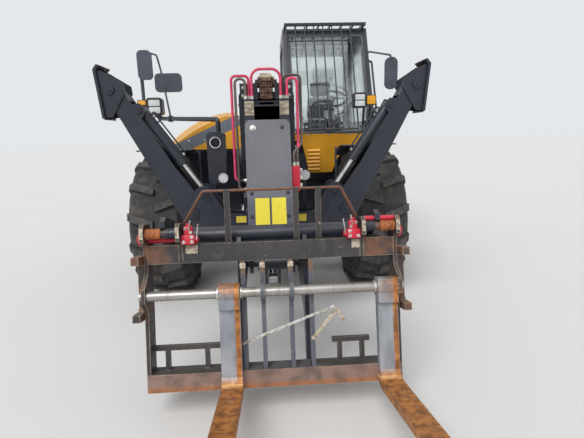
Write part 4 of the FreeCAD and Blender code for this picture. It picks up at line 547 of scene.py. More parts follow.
MATERIALS = {}
MAKERS = {
    "yellow": yellow_paint, "black": black_enamel, "cover": nose_paint_and_shade, "nose": nose_enamel, "beam": beam_paint,
    "red": red_paint, "rim": rim_paint, "hoses": hose_sleeves, "chain": chain_steel, "bonnet": bonnet_paint,
    "iron": iron, "fork": fork_steel, "cloth": seat_cloth, "lamp": lamp_glass, "mirror": mirror_glass,
    "bright": lambda: bare_steel("bright_steel", tone(196, 194, 196), tone(226, 224, 224), tone(118, 92, 74),
                                 0.9, 0.16),
    "shaft": lambda: bare_steel("shaft_steel", tone(150, 146, 142), tone(186, 182, 178), tone(104, 92, 82),
                                0.6, 0.26),
    "glass": lambda: glass("cab_glass", tone(226, 236, 236)),
    "dark_glass": lambda: glass("dark_lamp_glass", tone(70, 76, 84)),
    "plastic": lambda: moulded("black_plastic", tone(40, 41, 44)),
    "case": lambda: moulded("mirror_case_plastic", tone(62, 67, 78), 0.42),
    "trim": lambda: moulded("cab_trim_plastic", tone(92, 94, 98), 0.6),
    # Painted reflection: the mudguards' black plastic is lightened and tinted blue-grey to stand for the sky's sheen
    # on it.
    "guard": lambda: moulded("mudguard_plastic_painted_sheen", tone(58, 62, 72), 0.38),
    "amber": lambda: lens("amber_lens", tuple(colours().amber), 0.22),
    "tail": lambda: lens("red_lens", tone(196, 22, 26), 0.1),
    "plate": lambda: marked_plate("plate_paint", tuple(colours().plate), tone(150, 138, 70)),
    "label": lambda: marked_plate("label_paint", tone(216, 196, 66), tone(140, 126, 64)),
    "number": lambda: marked_plate("number_plate_paint", tone(206, 206, 200), tone(128, 122, 112)),
    "dial": lambda: marked_plate("dial_face", tone(30, 32, 36), tone(110, 112, 116)),
    "zinc": lambda: scaled_steel("pale_zinc", tone(214, 214, 208), tone(150, 140, 124), 0.6, 0.32, 0.55),
    "worn": lambda: scaled_steel("worn_plate_steel", tone(196, 186, 168), tone(132, 116, 98), 0.3, 0.4, 0.62),
    "rust": lambda: scaled_steel("orange_rust", tone(176, 104, 58), tone(112, 70, 46), 0.15, 0.6, 0.85),
    "rubber": lambda: scaled_steel("seal_rubber", tone(26, 26, 28), tone(48, 46, 45), 0.0, 0.6, 0.82),
}


def material(key):
    if key not in MATERIALS:
        MATERIALS[key] = MAKERS[key]()
    return MATERIALS[key]


# Mesh helpers

def finished(name, mesh, body, *keys, smooth=True, slot=None, place=None):
    """A piece from a bmesh, with its materials, on its CAD body. A place moves it from its own frame."""
    if place is not None:
        bmesh.ops.transform(mesh, matrix=place, verts=mesh.verts)
    bmesh.ops.recalc_face_normals(mesh, faces=mesh.faces)
    data = bpy.data.meshes.new(name)
    mesh.to_mesh(data)
    mesh.free()
    for key in keys:
        data.materials.append(material(key))
    if smooth:
        data.shade_smooth()
        data.set_sharp_from_angle(angle=math.radians(38))
    piece = bpy.data.objects.new(name, data)
    bpy.context.scene.collection.objects.link(piece)
    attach(piece, body)
    return piece


def span(side, first, last):
    """Two distances out from the middle plane as x places on one side, the lower first."""
    return sorted((side * first, side * last))


def facing(place, heading):
    """A matrix whose Z axis points along a heading, at a place."""
    return Matrix.Translation(place) @ Vector(heading).to_track_quat("Z", "Y").to_matrix().to_4x4()


def paint(faces, slot):
    for face in faces:
        if face.is_valid:
            face.material_index = slot


def add_disc(mesh, place, heading, radius, depth, sides=24, chamfer=0.0, slot=0):
    """A round or many-sided boss that stands on a place, its outer rim chamfered."""
    place, heading = Vector(place), Vector(heading).normalized()
    made = bmesh.ops.create_cone(mesh, cap_ends=True, segments=sides, radius1=radius, radius2=radius, depth=depth,
                                 matrix=facing(place + heading * depth / 2, heading))
    faces = {face for vert in made["verts"] for face in vert.link_faces}
    if chamfer:
        outer = [e for e in {e for v in made["verts"] for e in v.link_edges}
                 if all((v.co - place).dot(heading) > depth * 0.5 for v in e.verts)]
        made = bmesh.ops.bevel(mesh, geom=outer, offset=chamfer, affect="EDGES", segments=1, profile=0.5,
                               material=-1)
        faces |= set(made["faces"])
    paint(faces, slot)


def add_bar(mesh, start, end, radius, sides=16, slot=0, chamfer=0.0):
    heading = Vector(end) - Vector(start)
    add_disc(mesh, start, heading, radius, heading.length, sides, chamfer, slot)


def add_block(mesh, low, high, bevel=0.0, segments=2, turn=None, slot=0):
    """A box between two corners, turned about its middle, with rounded edges."""
    low, high = Vector(low), Vector(high)
    matrix = Matrix.Translation((low + high) / 2) @ (turn or Matrix.Identity(4)) \
        @ Matrix.Diagonal((*(high - low), 1))
    made = bmesh.ops.create_cube(mesh, size=1, matrix=matrix)
    faces = {f for v in made["verts"] for f in v.link_faces}
    if bevel:
        edges = {e for v in made["verts"] for e in v.link_edges}
        bevelled = bmesh.ops.bevel(mesh, geom=list(edges), offset=bevel, affect="EDGES", segments=segments,
                                   profile=0.5, material=-1)
        faces |= set(bevelled["faces"])
    paint(faces, slot)


def add_flat(mesh, start, end, width, depth, up=(0, 0, 1), bevel=0.0, slot=0):
    """A flat bar from one place to another, its width toward up and its depth across."""
    start, end = Vector(start), Vector(end)
    heading = end - start
    across = heading.cross(Vector(up)).normalized()
    over = across.cross(heading).normalized()
    turn = Matrix((across, heading.normalized(), over)).transposed().to_4x4()
    half = Vector((depth / 2, heading.length / 2, width / 2))
    add_block(mesh, (start + end) / 2 - half, (start + end) / 2 + half, bevel, 2, turn, slot)


def add_prism(mesh, outline, thickness, bevel=0.0, slot=0):
    """A flat outline of places, given a thickness along a vector, with rounded edges."""
    face = mesh.faces.new([mesh.verts.new(place) for place in outline])
    made = bmesh.ops.extrude_face_region(mesh, geom=[face])["geom"]
    moved = [v for v in made if isinstance(v, bmesh.types.BMVert)]
    bmesh.ops.translate(mesh, vec=Vector(thickness), verts=moved)
    faces = {f for v in list(face.verts) + moved for f in v.link_faces}
    if bevel:
        edges = {e for f in faces for e in f.edges if e.calc_face_angle(0) > 0.6}
        bevelled = bmesh.ops.bevel(mesh, geom=list(edges), offset=bevel, affect="EDGES", segments=2, profile=0.5,
                                   material=-1)
        faces |= set(bevelled["faces"])
    paint(faces, slot)


def add_bolt(mesh, place, heading, radius, slot=0):
    """A hexagon head on its washer."""
    heading = Vector(heading).normalized()
    add_disc(mesh, place, heading, radius * 1.5, radius * 0.2, 20, 0, slot)
    add_disc(mesh, Vector(place) + heading * radius * 0.19, heading, radius, radius * 0.75, 6, radius * 0.12, slot)


def add_ring(mesh, centre, radius, section, axis=(1, 0, 0), steps=72, slot=0):
    """A ring turned from a small closed section, given as offsets along the axis and outward."""
    before = set(mesh.faces)
    axis = Vector(axis).normalized()
    out = axis.orthogonal().normalized()
    verts = [mesh.verts.new(Vector(centre) + out * (radius + r) + axis * a) for a, r in section]
    edges = [mesh.edges.new((a, b)) for a, b in zip(verts, verts[1:] + verts[:1])]
    bmesh.ops.spin(mesh, geom=verts + edges, cent=centre, axis=axis, angle=2 * math.pi, steps=steps,
                   use_merge=True)
    made = [face for face in mesh.faces if face not in before]
    bmesh.ops.remove_doubles(mesh, verts=list({v for face in made for v in face.verts}), dist=0.00001)
    paint(made, slot)


def add_sleeve(mesh, place, heading, inner, outer, depth, sides=32, slot=0):
    """A round sleeve with a bore, standing on a place, its outer edges chamfered."""
    c = min(depth, outer - inner) * 0.2
    section = [(0, 0), (depth, 0), (depth, outer - inner - c), (depth - c, outer - inner),
               (c, outer - inner), (0, outer - inner - c)]
    add_ring(mesh, place, inner, section, heading, sides, slot)


def rounded_path(points, bend, steps=5, closed=False):
    """The places of a run, each corner rounded from the same distance before and after it."""
    points = [Vector(p) for p in points]
    made = []
    for n, corner in enumerate(points):
        if not closed and n in (0, len(points) - 1):
            made.append(corner)
            continue
        back, ahead = points[n - 1], points[(n + 1) % len(points)]
        first = corner + (back - corner).normalized() * bend
        last = corner + (ahead - corner).normalized() * bend
        for step in range(steps + 1):
            share = step / steps
            made.append(first.lerp(corner, share).lerp(corner.lerp(last, share), share))
    return made


def add_tube(mesh, points, radius, sides=10, closed=False, slot=0):
    """A round tube along places, with flat ends or joined to its own start."""
    points = [Vector(p) for p in points]
    before = set(mesh.faces)
    across, old, edges, start = None, None, None, None
    for n, point in enumerate(points):
        runs = []
        if n or closed:
            runs.append((point - points[n - 1]).normalized())
        if n < len(points) - 1 or closed:
            runs.append((points[(n + 1) % len(points)] - point).normalized())
        heading = sum(runs, Vector()).normalized()
        across = across or heading.orthogonal()
        across = (across - heading * across.dot(heading)).normalized()
        matrix = Matrix.Translation(point) @ Matrix((across, heading.cross(across), heading)).transposed().to_4x4()
        if old is None:
            ring = bmesh.ops.create_circle(mesh, cap_ends=not closed, segments=sides, radius=radius,
                                           matrix=matrix)["verts"]
            edges = start = list({e for v in ring for e in v.link_edges})
        else:
            made = bmesh.ops.extrude_edge_only(mesh, edges=edges)["geom"]
            ring = {g for g in made if isinstance(g, bmesh.types.BMVert)}
            edges = [g for g in made if isinstance(g, bmesh.types.BMEdge) and set(g.verts) <= ring]
            bmesh.ops.transform(mesh, matrix=matrix @ old.inverted(), verts=list(ring))
        old = matrix
    if closed:
        bmesh.ops.bridge_loops(mesh, edges=start + edges)
    else:
        bmesh.ops.edgeloop_fill(mesh, edges=edges)
    paint([face for face in mesh.faces if face not in before], slot)


def arc(centre, radius, start, end, steps):
    """Places on an arc across the machine's width axis, from the top toward the rear, in degrees."""
    turns = [math.radians(start + (end - start) * n / steps) for n in range(steps + 1)]
    return [Vector(centre) + Vector((0, math.sin(t), math.cos(t))) * radius for t in turns]


SURFACES = {}


def seat_point(node, start, heading):
    """Where a line from start first meets a CAD node, and the face's outward direction there."""
    if node not in SURFACES:
        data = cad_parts[node].data
        SURFACES[node] = BVHTree.FromPolygons([v.co for v in data.vertices], [p.vertices for p in data.polygons])
    place, normal, _, _ = SURFACES[node].ray_cast(Vector(start), Vector(heading).normalized())
    if place is None:
        raise ValueError(f"no face of {node} lies from {tuple(start)} along {tuple(heading)}")
    if normal.dot(Vector(heading)) > 0:
        normal = -normal
    return place, normal


def add_seated_bolt(mesh, node, start, heading, radius, slot=0):
    place, normal = seat_point(node, start, heading)
    add_bolt(mesh, place, normal, radius, slot)


def cushion(name, low, high, lean, grow, channels, body, key):
    """A cushion blown up inside its cover by cloth simulation, with sewn channels pressed into it."""
    mesh = bmesh.new()
    add_block(mesh, low, high, 0.028, 5)
    bmesh.ops.subdivide_edges(mesh, edges=mesh.edges, cuts=1)
    data = bpy.data.meshes.new(name)
    mesh.to_mesh(data)
    mesh.free()
    piece = bpy.data.objects.new(name, data)
    bpy.context.scene.collection.objects.link(piece)
    voxels = piece.modifiers.new("Voxels", "REMESH")
    voxels.mode = "VOXEL"
    voxels.voxel_size = 0.008
    data = applied(piece)
    start = [v.co.copy() for v in data.vertices]
    puff = piece.modifiers.new("Puff", "CLOTH")
    puff.settings.use_pressure = True
    puff.settings.uniform_pressure_force = 4
    puff.settings.effector_weights.gravity = 0
    for n in range(1, 21):
        bpy.context.scene.frame_set(n)
    data = applied(piece)
    for vertex, place in zip(data.vertices, start):
        moved = vertex.co - place
        if moved.length > grow:
            vertex.co = place + moved.normalized() * grow
    bpy.context.scene.frame_set(1)
    finer = piece.modifiers.new("Finer", "SUBSURF")
    finer.levels = finer.render_levels = 1
    data = applied(piece)
    middle_of = (Vector(low) + Vector(high)) / 2
    normals = [v.normal.copy() for v in data.vertices]
    for vertex, normal in zip(data.vertices, normals):
        depth = 0.0
        for axis, where in channels:
            depth = max(depth, math.exp(-((vertex.co[axis] - where) / 0.006) ** 2))
        vertex.co -= normal * 0.007 * depth
    data.transform(Matrix.Translation(middle_of) @ lean @ Matrix.Translation(-middle_of))
    data.shade_smooth()
    data.materials.append(material(key))
    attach(piece, body)
    return piece


def applied(piece):
    """The piece's mesh with its modifiers applied, put in place of the one it had."""
    bpy.context.view_layer.update()
    data = bpy.data.meshes.new_from_object(piece.evaluated_get(bpy.context.evaluated_depsgraph_get()))
    piece.modifiers.clear()
    piece.data = data
    return data


# Pieces

NODE_FINISH = {
    "black": ["chassis_frame", "tail_weight", "stabiliser_frame", "cab_shell", "cab_guard", "boom_outer",
              "hitch", "lamp_pod", "headlamps", "work_lamps", "engine_pod", "stabiliser_leg_left",
              "stabiliser_leg_right", "stabiliser_foot_left", "stabiliser_foot_right",
              "stabiliser_barrel_left", "stabiliser_barrel_right", "tilt_barrel", "lift_barrel",
              "tank_and_steps", "cab_door", "boom_mid"],
    "nose": ["boom_inner"],
    "yellow": ["cab_front_panel"],
    "iron": ["axle_front", "axle_rear", "engine_block"] + [f"knuckle_{e}_{s}" for e, s, _ in ENDS],
    "bonnet": ["bonnet"],
    "cover": ["nose_cover"],
    "chain": ["boom_chain"],
    "hoses": ["boom_hoses"],
    "beam": ["fork_frame"],
    "fork": ["fork_left", "fork_right"],
    "shaft": ["fork_shaft"],
    "bright": ["lift_rod", "tilt_rod", "stabiliser_rod_left", "stabiliser_rod_right"],
    "glass": ["cab_glass", "door_glass"],
    "case": ["mirrors"],
    "plastic": ["dashboard", "seat"],
    "rim": [f"rim_{e}_{s}" for e, s, _ in ENDS],
    "guard": [f"mudguard_{e}_{s}" for e, s, _ in ENDS],
}


class HANDLER_OT_frame_finishes(bpy.types.Operator):
    """Gives every CAD node its paint, steel, glass or rubber"""
    bl_idname = "handler.frame_finishes"
    bl_label = "Frame finishes"

    def execute(self, context):
        for key, names in NODE_FINISH.items():
            for name in names:
                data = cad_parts[name].data
                data.materials.clear()
                data.materials.append(material(key))
        for end, side, _ in ENDS:
            wheel = f"{end}_{side}"
            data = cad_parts[f"tyre_{wheel}"].data
            data.materials.clear()
            data.materials.append(tyre_rubber(wheel, middle(f"tyre_{wheel}")))
        return {"FINISHED"}


class HANDLER_OT_wheel_nuts(bpy.types.Operator):
    """Adds wheel nuts and hub cover bolts to each wheel"""
    bl_idname = "handler.wheel_nuts"
    bl_label = "Wheel nuts"

    def execute(self, context):
        size = sizes()
        for end, side, sign in ENDS:
            wheel = f"{end}_{side}"
            centre = middle(f"rim_{wheel}")
            outside = centre.x + sign * 0.5
            inward = (-sign, 0, 0)
            mesh = bmesh.new()
            for circle, count, radius in ((size.nut_circle, size.nut_count, size.nut),
                                          (size.hub_bolt_circle, 8, size.bolt * 0.8)):
                for n in range(count):
                    turn = 2 * math.pi * (n + 0.5) / count
                    start = (outside, centre.y + circle * math.cos(turn), centre.z + circle * math.sin(turn))
                    place, normal = seat_point(f"rim_{wheel}", start, inward)
                    add_bolt(mesh, place, normal, radius)
                    add_disc(mesh, place, normal, radius * 0.5, radius * 1.3, 12)
            finished(f"wheel_nuts_{wheel}", mesh, f"wheel_{wheel}", "zinc", slot="rim")
        return {"FINISHED"}


class HANDLER_OT_tyre_walls(bpy.types.Operator):
    """Adds the moulded rings on the walls of each tyre"""
    bl_idname = "handler.tyre_walls"
    bl_label = "Tyre walls"

    def execute(self, context):
        for end, side, sign in ENDS:
            wheel = f"{end}_{side}"
            node = f"tyre_{wheel}"
            centre = middle(node)
            mesh = bmesh.new()
            for out in (1, -1):
                for radius, height, width in ((0.352, 0.007, 0.012), (0.43, 0.004, 0.005), (0.452, 0.004, 0.005)):
                    start = (centre.x + out * 0.5, centre.y, centre.z + radius)
                    place, _ = seat_point(node, start, (-out, 0, 0))
                    section = [(-0.004 * out, -width), (height * 0.8 * out, -width * 0.6), (height * out, 0),
                               (height * 0.8 * out, width * 0.6), (-0.004 * out, width)]
                    add_ring(mesh, (place.x, centre.y, centre.z), radius, section)
            piece = finished(f"tyre_rings_{wheel}", mesh, f"wheel_{wheel}", slot="tyre")
            piece.data.materials.append(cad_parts[node].data.materials[0])
        return {"FINISHED"}


class HANDLER_OT_mudguard_trim(bpy.types.Operator):
    """Adds the rolled edges and the stay bolts of the four mudguards"""
    bl_idname = "handler.mudguard_trim"
    bl_label = "Mudguard trim"

    def execute(self, context):
        arcs = {"front": (-3.6, 32.6), "rear": (-49.6, 49.6)}
        for end, side, sign in ENDS:
            centre = middle(f"tyre_{end}_{side}")
            mesh = bmesh.new()
            for x in (0.697, 1.193):
                hub = Vector((sign * x, centre.y, centre.z))
                add_tube(mesh, arc(hub, 0.677, *arcs[end], 24), 0.006, 8)
            for along in (0.3, 0.7):
                turn = arcs[end][0] + (arcs[end][1] - arcs[end][0]) * along
                for x in (0.76, 0.9):
                    way = Vector((0, math.sin(math.radians(turn)), math.cos(math.radians(turn))))
                    start = Vector((sign * x, centre.y, centre.z)) + way * 0.8
                    add_seated_bolt(mesh, f"mudguard_{end}_{side}", start, -way, sizes().bolt * 0.8)
            finished(f"mudguard_edges_{end}_{side}", mesh, f"swivel_{end}_{side}", "guard", slot="plastic")
        return {"FINISHED"}


class HANDLER_OT_axle_bolts(bpy.types.Operator):
    """Adds the cover bolts of both axles and the caps and bolts of the kingpins"""
    bl_idname = "handler.axle_bolts"
    bl_label = "Axle bolts"

    def execute(self, context):
        for end, way in (("front", 1), ("rear", -1)):
            centre = middle(f"axle_{end}")
            mesh = bmesh.new()
            for n in range(12):
                turn = 2 * math.pi * n / 12
                start = centre + Vector((0.115 * math.cos(turn), -0.6 * way, 0.115 * math.sin(turn)))
                add_seated_bolt(mesh, f"axle_{end}", start, (0, way, 0), sizes().bolt)
            for side in (1, -1):
                for x in (0.3, 0.42, 0.54):
                    add_sleeve(mesh, (side * x, centre.y, centre.z), (side, 0, 0), 0.074, 0.081, 0.012)
            finished(f"axle_cover_{end}", mesh, "chassis", "iron", slot="iron")
        for end, side, sign in ENDS:
            node = f"knuckle_{end}_{side}"
            wheel = middle(f"axle_{end}")
            mesh = bmesh.new()
            for up in (1, -1):
                start = Vector((sign * 0.7, wheel.y, wheel.z + up * 0.5))
                place, normal = seat_point(node, start, (0, 0, -up))
                add_disc(mesh, place, normal, 0.036, 0.008, 28, 0.002)
                for n in range(4):
                    turn = math.pi * (n + 0.5) / 2
                    side_step = Vector((0.024 * math.cos(turn), 0.024 * math.sin(turn), 0))
                    add_bolt(mesh, place + normal * 0.008 + side_step, normal, 0.006)
            finished(f"kingpin_caps_{end}_{side}", mesh, f"swivel_{end}_{side}", "zinc", slot="iron")
        return {"FINISHED"}


class HANDLER_OT_hook_fittings(bpy.types.Operator):
    """Adds the sleeves, red locking bars, levers and wear plates of the fork frame"""
    bl_idname = "handler.hook_fittings"
    bl_label = "Hook fittings"

    def execute(self, context):
        mesh = bmesh.new()
        for side in (1, -1):
            for near, far, slot in ((0.4765, 0.5275, 1), (0.5525, 0.6295, 0)):
                for part in range(3):
                    width = (far - near) / 3
                    start = near + part * width
                    add_bar(mesh, (side * (start + 0.0008), 0.008, 0.31), (side * (start + width - 0.0008), 0.008, 0.31),
                            0.027 - 0.001 * (part == 1), 28, slot)
        finished("hook_sleeves", mesh, "carriage", "rust", "black", slot="rust", place=FRAME_PLACE)

        mesh = bmesh.new()
        for side in (1, -1):
            y, z = (0.018, 0.35) if side > 0 else (0.062, 0.275)
            add_bar(mesh, (side * 0.474, y, z), (side * 0.631, y, z), 0.013, 20)
            add_disc(mesh, (side * 0.6495, 0.03, 0.285), (side, 0, 0), 0.0335, 0.0175, 32, 0.002)
            add_disc(mesh, (side * 0.667, 0.03, 0.285), (side, 0, 0), 0.016, 0.008, 6, 0.001)
            x0, x1 = span(side, 0.386, 0.4555)
            add_block(mesh, (x0, 0.0, 0.2505), (x1, 0.05, 0.3), 0.005, 2)
            x0, x1 = span(side, 0.398, 0.442)
            add_block(mesh, (x0, 0.006, 0.298), (x1, 0.044, 0.344), 0.006, 2)
            add_bar(mesh, (side * 0.37, 0.025, 0.276), (side * 0.388, 0.025, 0.276), 0.014, 20, chamfer=0.002)
            add_bar(mesh, (side * 0.42, 0.025, 0.342), (side * 0.42, 0.025, 0.358), 0.013, 20, chamfer=0.002)
        finished("locking_bars", mesh, "carriage", "red", slot="red", place=FRAME_PLACE)

        mesh = bmesh.new()
        for side in (1, -1):
            add_flat(mesh, (side * 0.378, 0.012, 0.276), (side * 0.366, -0.006, 0.352), 0.012, 0.005, (0, 1, 0), 0.001)
            add_flat(mesh, (side * 0.414, 0.0, 0.32), (side * 0.402, -0.022, 0.37), 0.01, 0.005, (0, 1, 0), 0.001)
            for x, z in ((0.4, 0.264), (0.442, 0.264), (0.4, 0.288)):
                add_bolt(mesh, (side * x, 0.0005, z), (0, -1, 0), 0.006)
            for x, z in ((0.406, 0.312), (0.434, 0.33)):
                add_bolt(mesh, (side * x, 0.0065, z), (0, -1, 0), 0.005)
        x0, x1, z0, z1 = -0.178, 0.3145, -0.27, -0.095
        add_flat(mesh, (x0, 0.0372, z0), (x1, 0.0372, z1), 0.014, 0.0045, (0, 0, 1), 0.0008)
        finished("locking_levers", mesh, "carriage", "zinc", slot="bright", place=FRAME_PLACE)

        mesh = bmesh.new()
        for x0, x1, z0, z1 in ((-0.44, -0.378, 0.203, 0.246), (0.412, 0.463, 0.2, 0.246),
                               (-0.17, -0.14, 0.116, 0.144), (-0.07, -0.04, 0.116, 0.144),
                               (0.075, 0.105, 0.116, 0.144)):
            add_block(mesh, (x0, 0.0355, z0), (x1, 0.0405, z1), 0.0015, 2)
        add_flat(mesh, (0.19, 0.036, -0.262), (0.322, 0.036, -0.112), 0.02, 0.005, (0, 0, 1), 0.0008)
        add_flat(mesh, (0.316, 0.036, -0.11), (0.36, 0.036, -0.172), 0.02, 0.005, (0, 0, 1), 0.0008)
        for x in (-0.64, -0.465, 0.465, 0.64):
            add_block(mesh, (x - 0.009, -0.0355, 0.285), (x + 0.009, -0.0335, 0.338), 0.0008, 1)
        finished("wear_plates", mesh, "carriage", "worn", slot="bright", place=FRAME_PLACE)

        mesh = bmesh.new()
        for x in (-0.155, -0.055, 0.09, 0.195):
            for z in (0.1555, -0.4):
                for step in (-0.0125, 0.0125):
                    add_tube(mesh, [(x + step, 0.04, z), (x + step, 0.12, z)], 0.004, 8)
        for x0, x1 in ((-0.63, -0.29), (0.3, 0.5)):
            for share in (0.2, 0.8):
                x = x0 + (x1 - x0) * share
                add_tube(mesh, [(x - 0.012, 0.094, -0.4), (x + 0.012, 0.094, -0.4)], 0.004, 8)
        finished("frame_welds", mesh, "carriage", "black", slot="black", place=FRAME_PLACE)
        return {"FINISHED"}


class HANDLER_OT_hitch_pins(bpy.types.Operator):
    """Adds the keepers and bolts of the carriage's pins"""
    bl_idname = "handler.hitch_pins"
    bl_label = "Hitch pins"

    def execute(self, context):
        mesh = bmesh.new()
        for side in (1, -1):
            for node, place in (("hitch", at(side * 600, -1290, 590)),):
                seat, _ = seat_point(node, place, (-side, 0, 0))
                add_disc(mesh, seat, (side, 0, 0), 0.02, 0.006, 24, 0.001)
                add_bolt(mesh, seat + Vector((side * 0.006, 0, 0)), (side, 0, 0), 0.009)
        for x in (-0.222, 0.574):
            for out in (1, -1):
                add_sleeve(mesh, FRAME_PLACE @ Vector((x + out * 0.0525, 0, 0)), (out, 0, 0), 0.0252, 0.031, 0.012)
        finished("hitch_pin_caps", mesh, "carriage", "zinc", slot="bright")
        return {"FINISHED"}


class HANDLER_OT_nose_cover_plates(bpy.types.Operator):
    """Adds the bolt heads and the blank plates on the nose cover"""
    bl_idname = "handler.nose_cover_plates"
    bl_label = "Nose cover plates"

    def execute(self, context):
        low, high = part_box("nose_cover")
        front = low.y - 0.5
        mesh = bmesh.new()
        add_seated_bolt(mesh, "nose_cover", (low.x + 0.052, front, high.z - 0.052), (0, 1, 0), sizes().bolt * 1.2)
        for x in (-0.092, 0.076):
            add_seated_bolt(mesh, "nose_cover", (x, front, low.z + 0.03), (0, 1, 0), sizes().bolt * 1.1)
        finished("nose_cover_bolts", mesh, "boom_inner", "zinc", slot="bright")
        mesh = bmesh.new()
        for x, z in ((high.x - 0.052, high.z - 0.052), (low.x + 0.03, 1.05), (high.x - 0.03, 1.05),
                     (low.x + 0.03, 0.9), (high.x - 0.03, 0.9)):
            add_seated_bolt(mesh, "nose_cover", (x, front, z), (0, 1, 0), sizes().bolt * 0.8)
        finished("nose_cover_screws", mesh, "boom_inner", "black", slot="black")
        mesh = bmesh.new()
        for x0, x1 in ((-0.099, -0.005), (0.009, 0.104)):
            place, normal = seat_point("nose_cover", ((x0 + x1) / 2, front, 0.9235), (0, 1, 0))
            tip = Matrix.Rotation(math.atan2(normal.z, -normal.y), 4, "X").inverted()
            half = Vector(((x1 - x0) / 2, 0.001, 0.0985))
            add_block(mesh, place + normal * 0.0008 - half, place + normal * 0.0008 + half, 0.0004, 1, turn=tip)
        finished("blank_plates", mesh, "boom_inner", "plate", smooth=False, slot="yellow")
        return {"FINISHED"}


class HANDLER_OT_boom_fittings(bpy.types.Operator):
    """Adds the chain's plates and pins, the bolts of the boom's head and the caps of its pivot"""
    bl_idname = "handler.boom_fittings"
    bl_label = "Boom fittings"

    def execute(self, context):
        head = -BOOM_LENGTH
        axis_y, axis_z, low = head - 0.031, 0.292, 0.179
        mesh = bmesh.new()
        for n in range(3):
            z = low + 0.019 + n * 0.038
            for k in range(5):
                x = -0.036 + k * 0.018
                add_block(mesh, (x - 0.0035, axis_y - 0.061, z - 0.018), (x + 0.0035, axis_y - 0.045, z + 0.018),
                          0.003, 2)
            add_bar(mesh, (-0.046, axis_y - 0.054, z - 0.009), (0.046, axis_y - 0.054, z - 0.009), 0.005, 12)
        finished("chain_plates", mesh, "boom_outer", "chain", slot="rust", place=BOOM_PLACE)

        mesh = bmesh.new()
        for side in (1, -1):
            for y in (head + 0.03, head + 0.1):
                for z in (-0.15, -0.05, 0.05, 0.15):
                    add_bolt(mesh, (side * 0.1918, y, z), (side, 0, 0), 0.009)
            for x in (0.098, 0.156):
                for z in (0.205, 0.258):
                    add_bolt(mesh, (side * x, head - 0.0618, z), (0, -1, 0), 0.0075)
            add_disc(mesh, (side * 0.0722, axis_y, axis_z), (side, 0, 0), 0.019, 0.006, 24, 0.001)
            add_disc(mesh, (side * 0.2168, 0, 0), (side, 0, 0), 0.06, 0.01, 40, 0.002)
            for n in range(4):
                turn = math.pi * (n + 0.5) / 2
                add_bolt(mesh, (side * 0.2266, 0.04 * math.cos(turn), 0.04 * math.sin(turn)), (side, 0, 0), 0.009)
        finished("boom_head_bolts", mesh, "boom_outer", "zinc", slot="bright", place=BOOM_PLACE)

        mesh = bmesh.new()
        for side in (1, -1):
            x = side * 0.1625
            for y0, y1 in ((head + 0.2, head + 1.25), (head + 1.3, head + 2.7)):
                add_block(mesh, (min(x, x + side * 0.004), y0, -0.012), (max(x, x + side * 0.004), y1, 0.012),
                          0.0015, 1)
        add_tube(mesh, [(0.08, head + 0.72, 0.207), (0.08, -0.35, 0.207)], 0.009, 12)
        add_tube(mesh, [(0.11, head + 0.72, 0.207), (0.11, -0.35, 0.207)], 0.009, 12)
        for n in range(6):
            y = head + 0.8 + n * 0.5
            add_block(mesh, (0.064, y, 0.199), (0.126, y + 0.03, 0.218), 0.003, 2)
        finished("boom_side_rails", mesh, "boom_outer", "black", slot="black", place=BOOM_PLACE)
        return {"FINISHED"}


class HANDLER_OT_hose_fittings(bpy.types.Operator):
    """Adds the bright ends of the boom's hoses and the bolts of their blocks"""
    bl_idname = "handler.hose_fittings"
    bl_label = "Hose fittings"

    def execute(self, context):
        mesh = bmesh.new()
        top, mid_y = 1660, -1072
        for x in (-96, 96):
            add_sleeve(mesh, at(x, mid_y - 8, top), (0, 0, 1), 0.0088, 0.0125, 0.02, 20)
        for side in (1, -1):
            for n in range(2):
                add_sleeve(mesh, at(side * (138 - 22 * n), mid_y - 10 + 22 * n, top), (0, 0, 1), 0.0088, 0.0125,
                           0.022, 20)
        for n in range(2):
            z = 1062 + 60 * n
            add_sleeve(mesh, at(-149.5, mid_y - 40 + 22 * n, z), (-1, 0, 0), 0.0088, 0.013, 0.024, 20)
            x, y = 149 + 0.3 + 56 - 12 - 24 * n, -1141 + 16 - 26 * n
            add_sleeve(mesh, at(x, y, 1215), (0, 0, 1), 0.0088, 0.013, 0.026, 20)
        for z in (1068, 1196):
            for y in (-1164, -1118):
                add_bolt(mesh, at(205.2, y, z), (1, 0, 0), 0.006)
        finished("hose_ends", mesh, "boom_inner", "zinc", slot="bright")
        return {"FINISHED"}


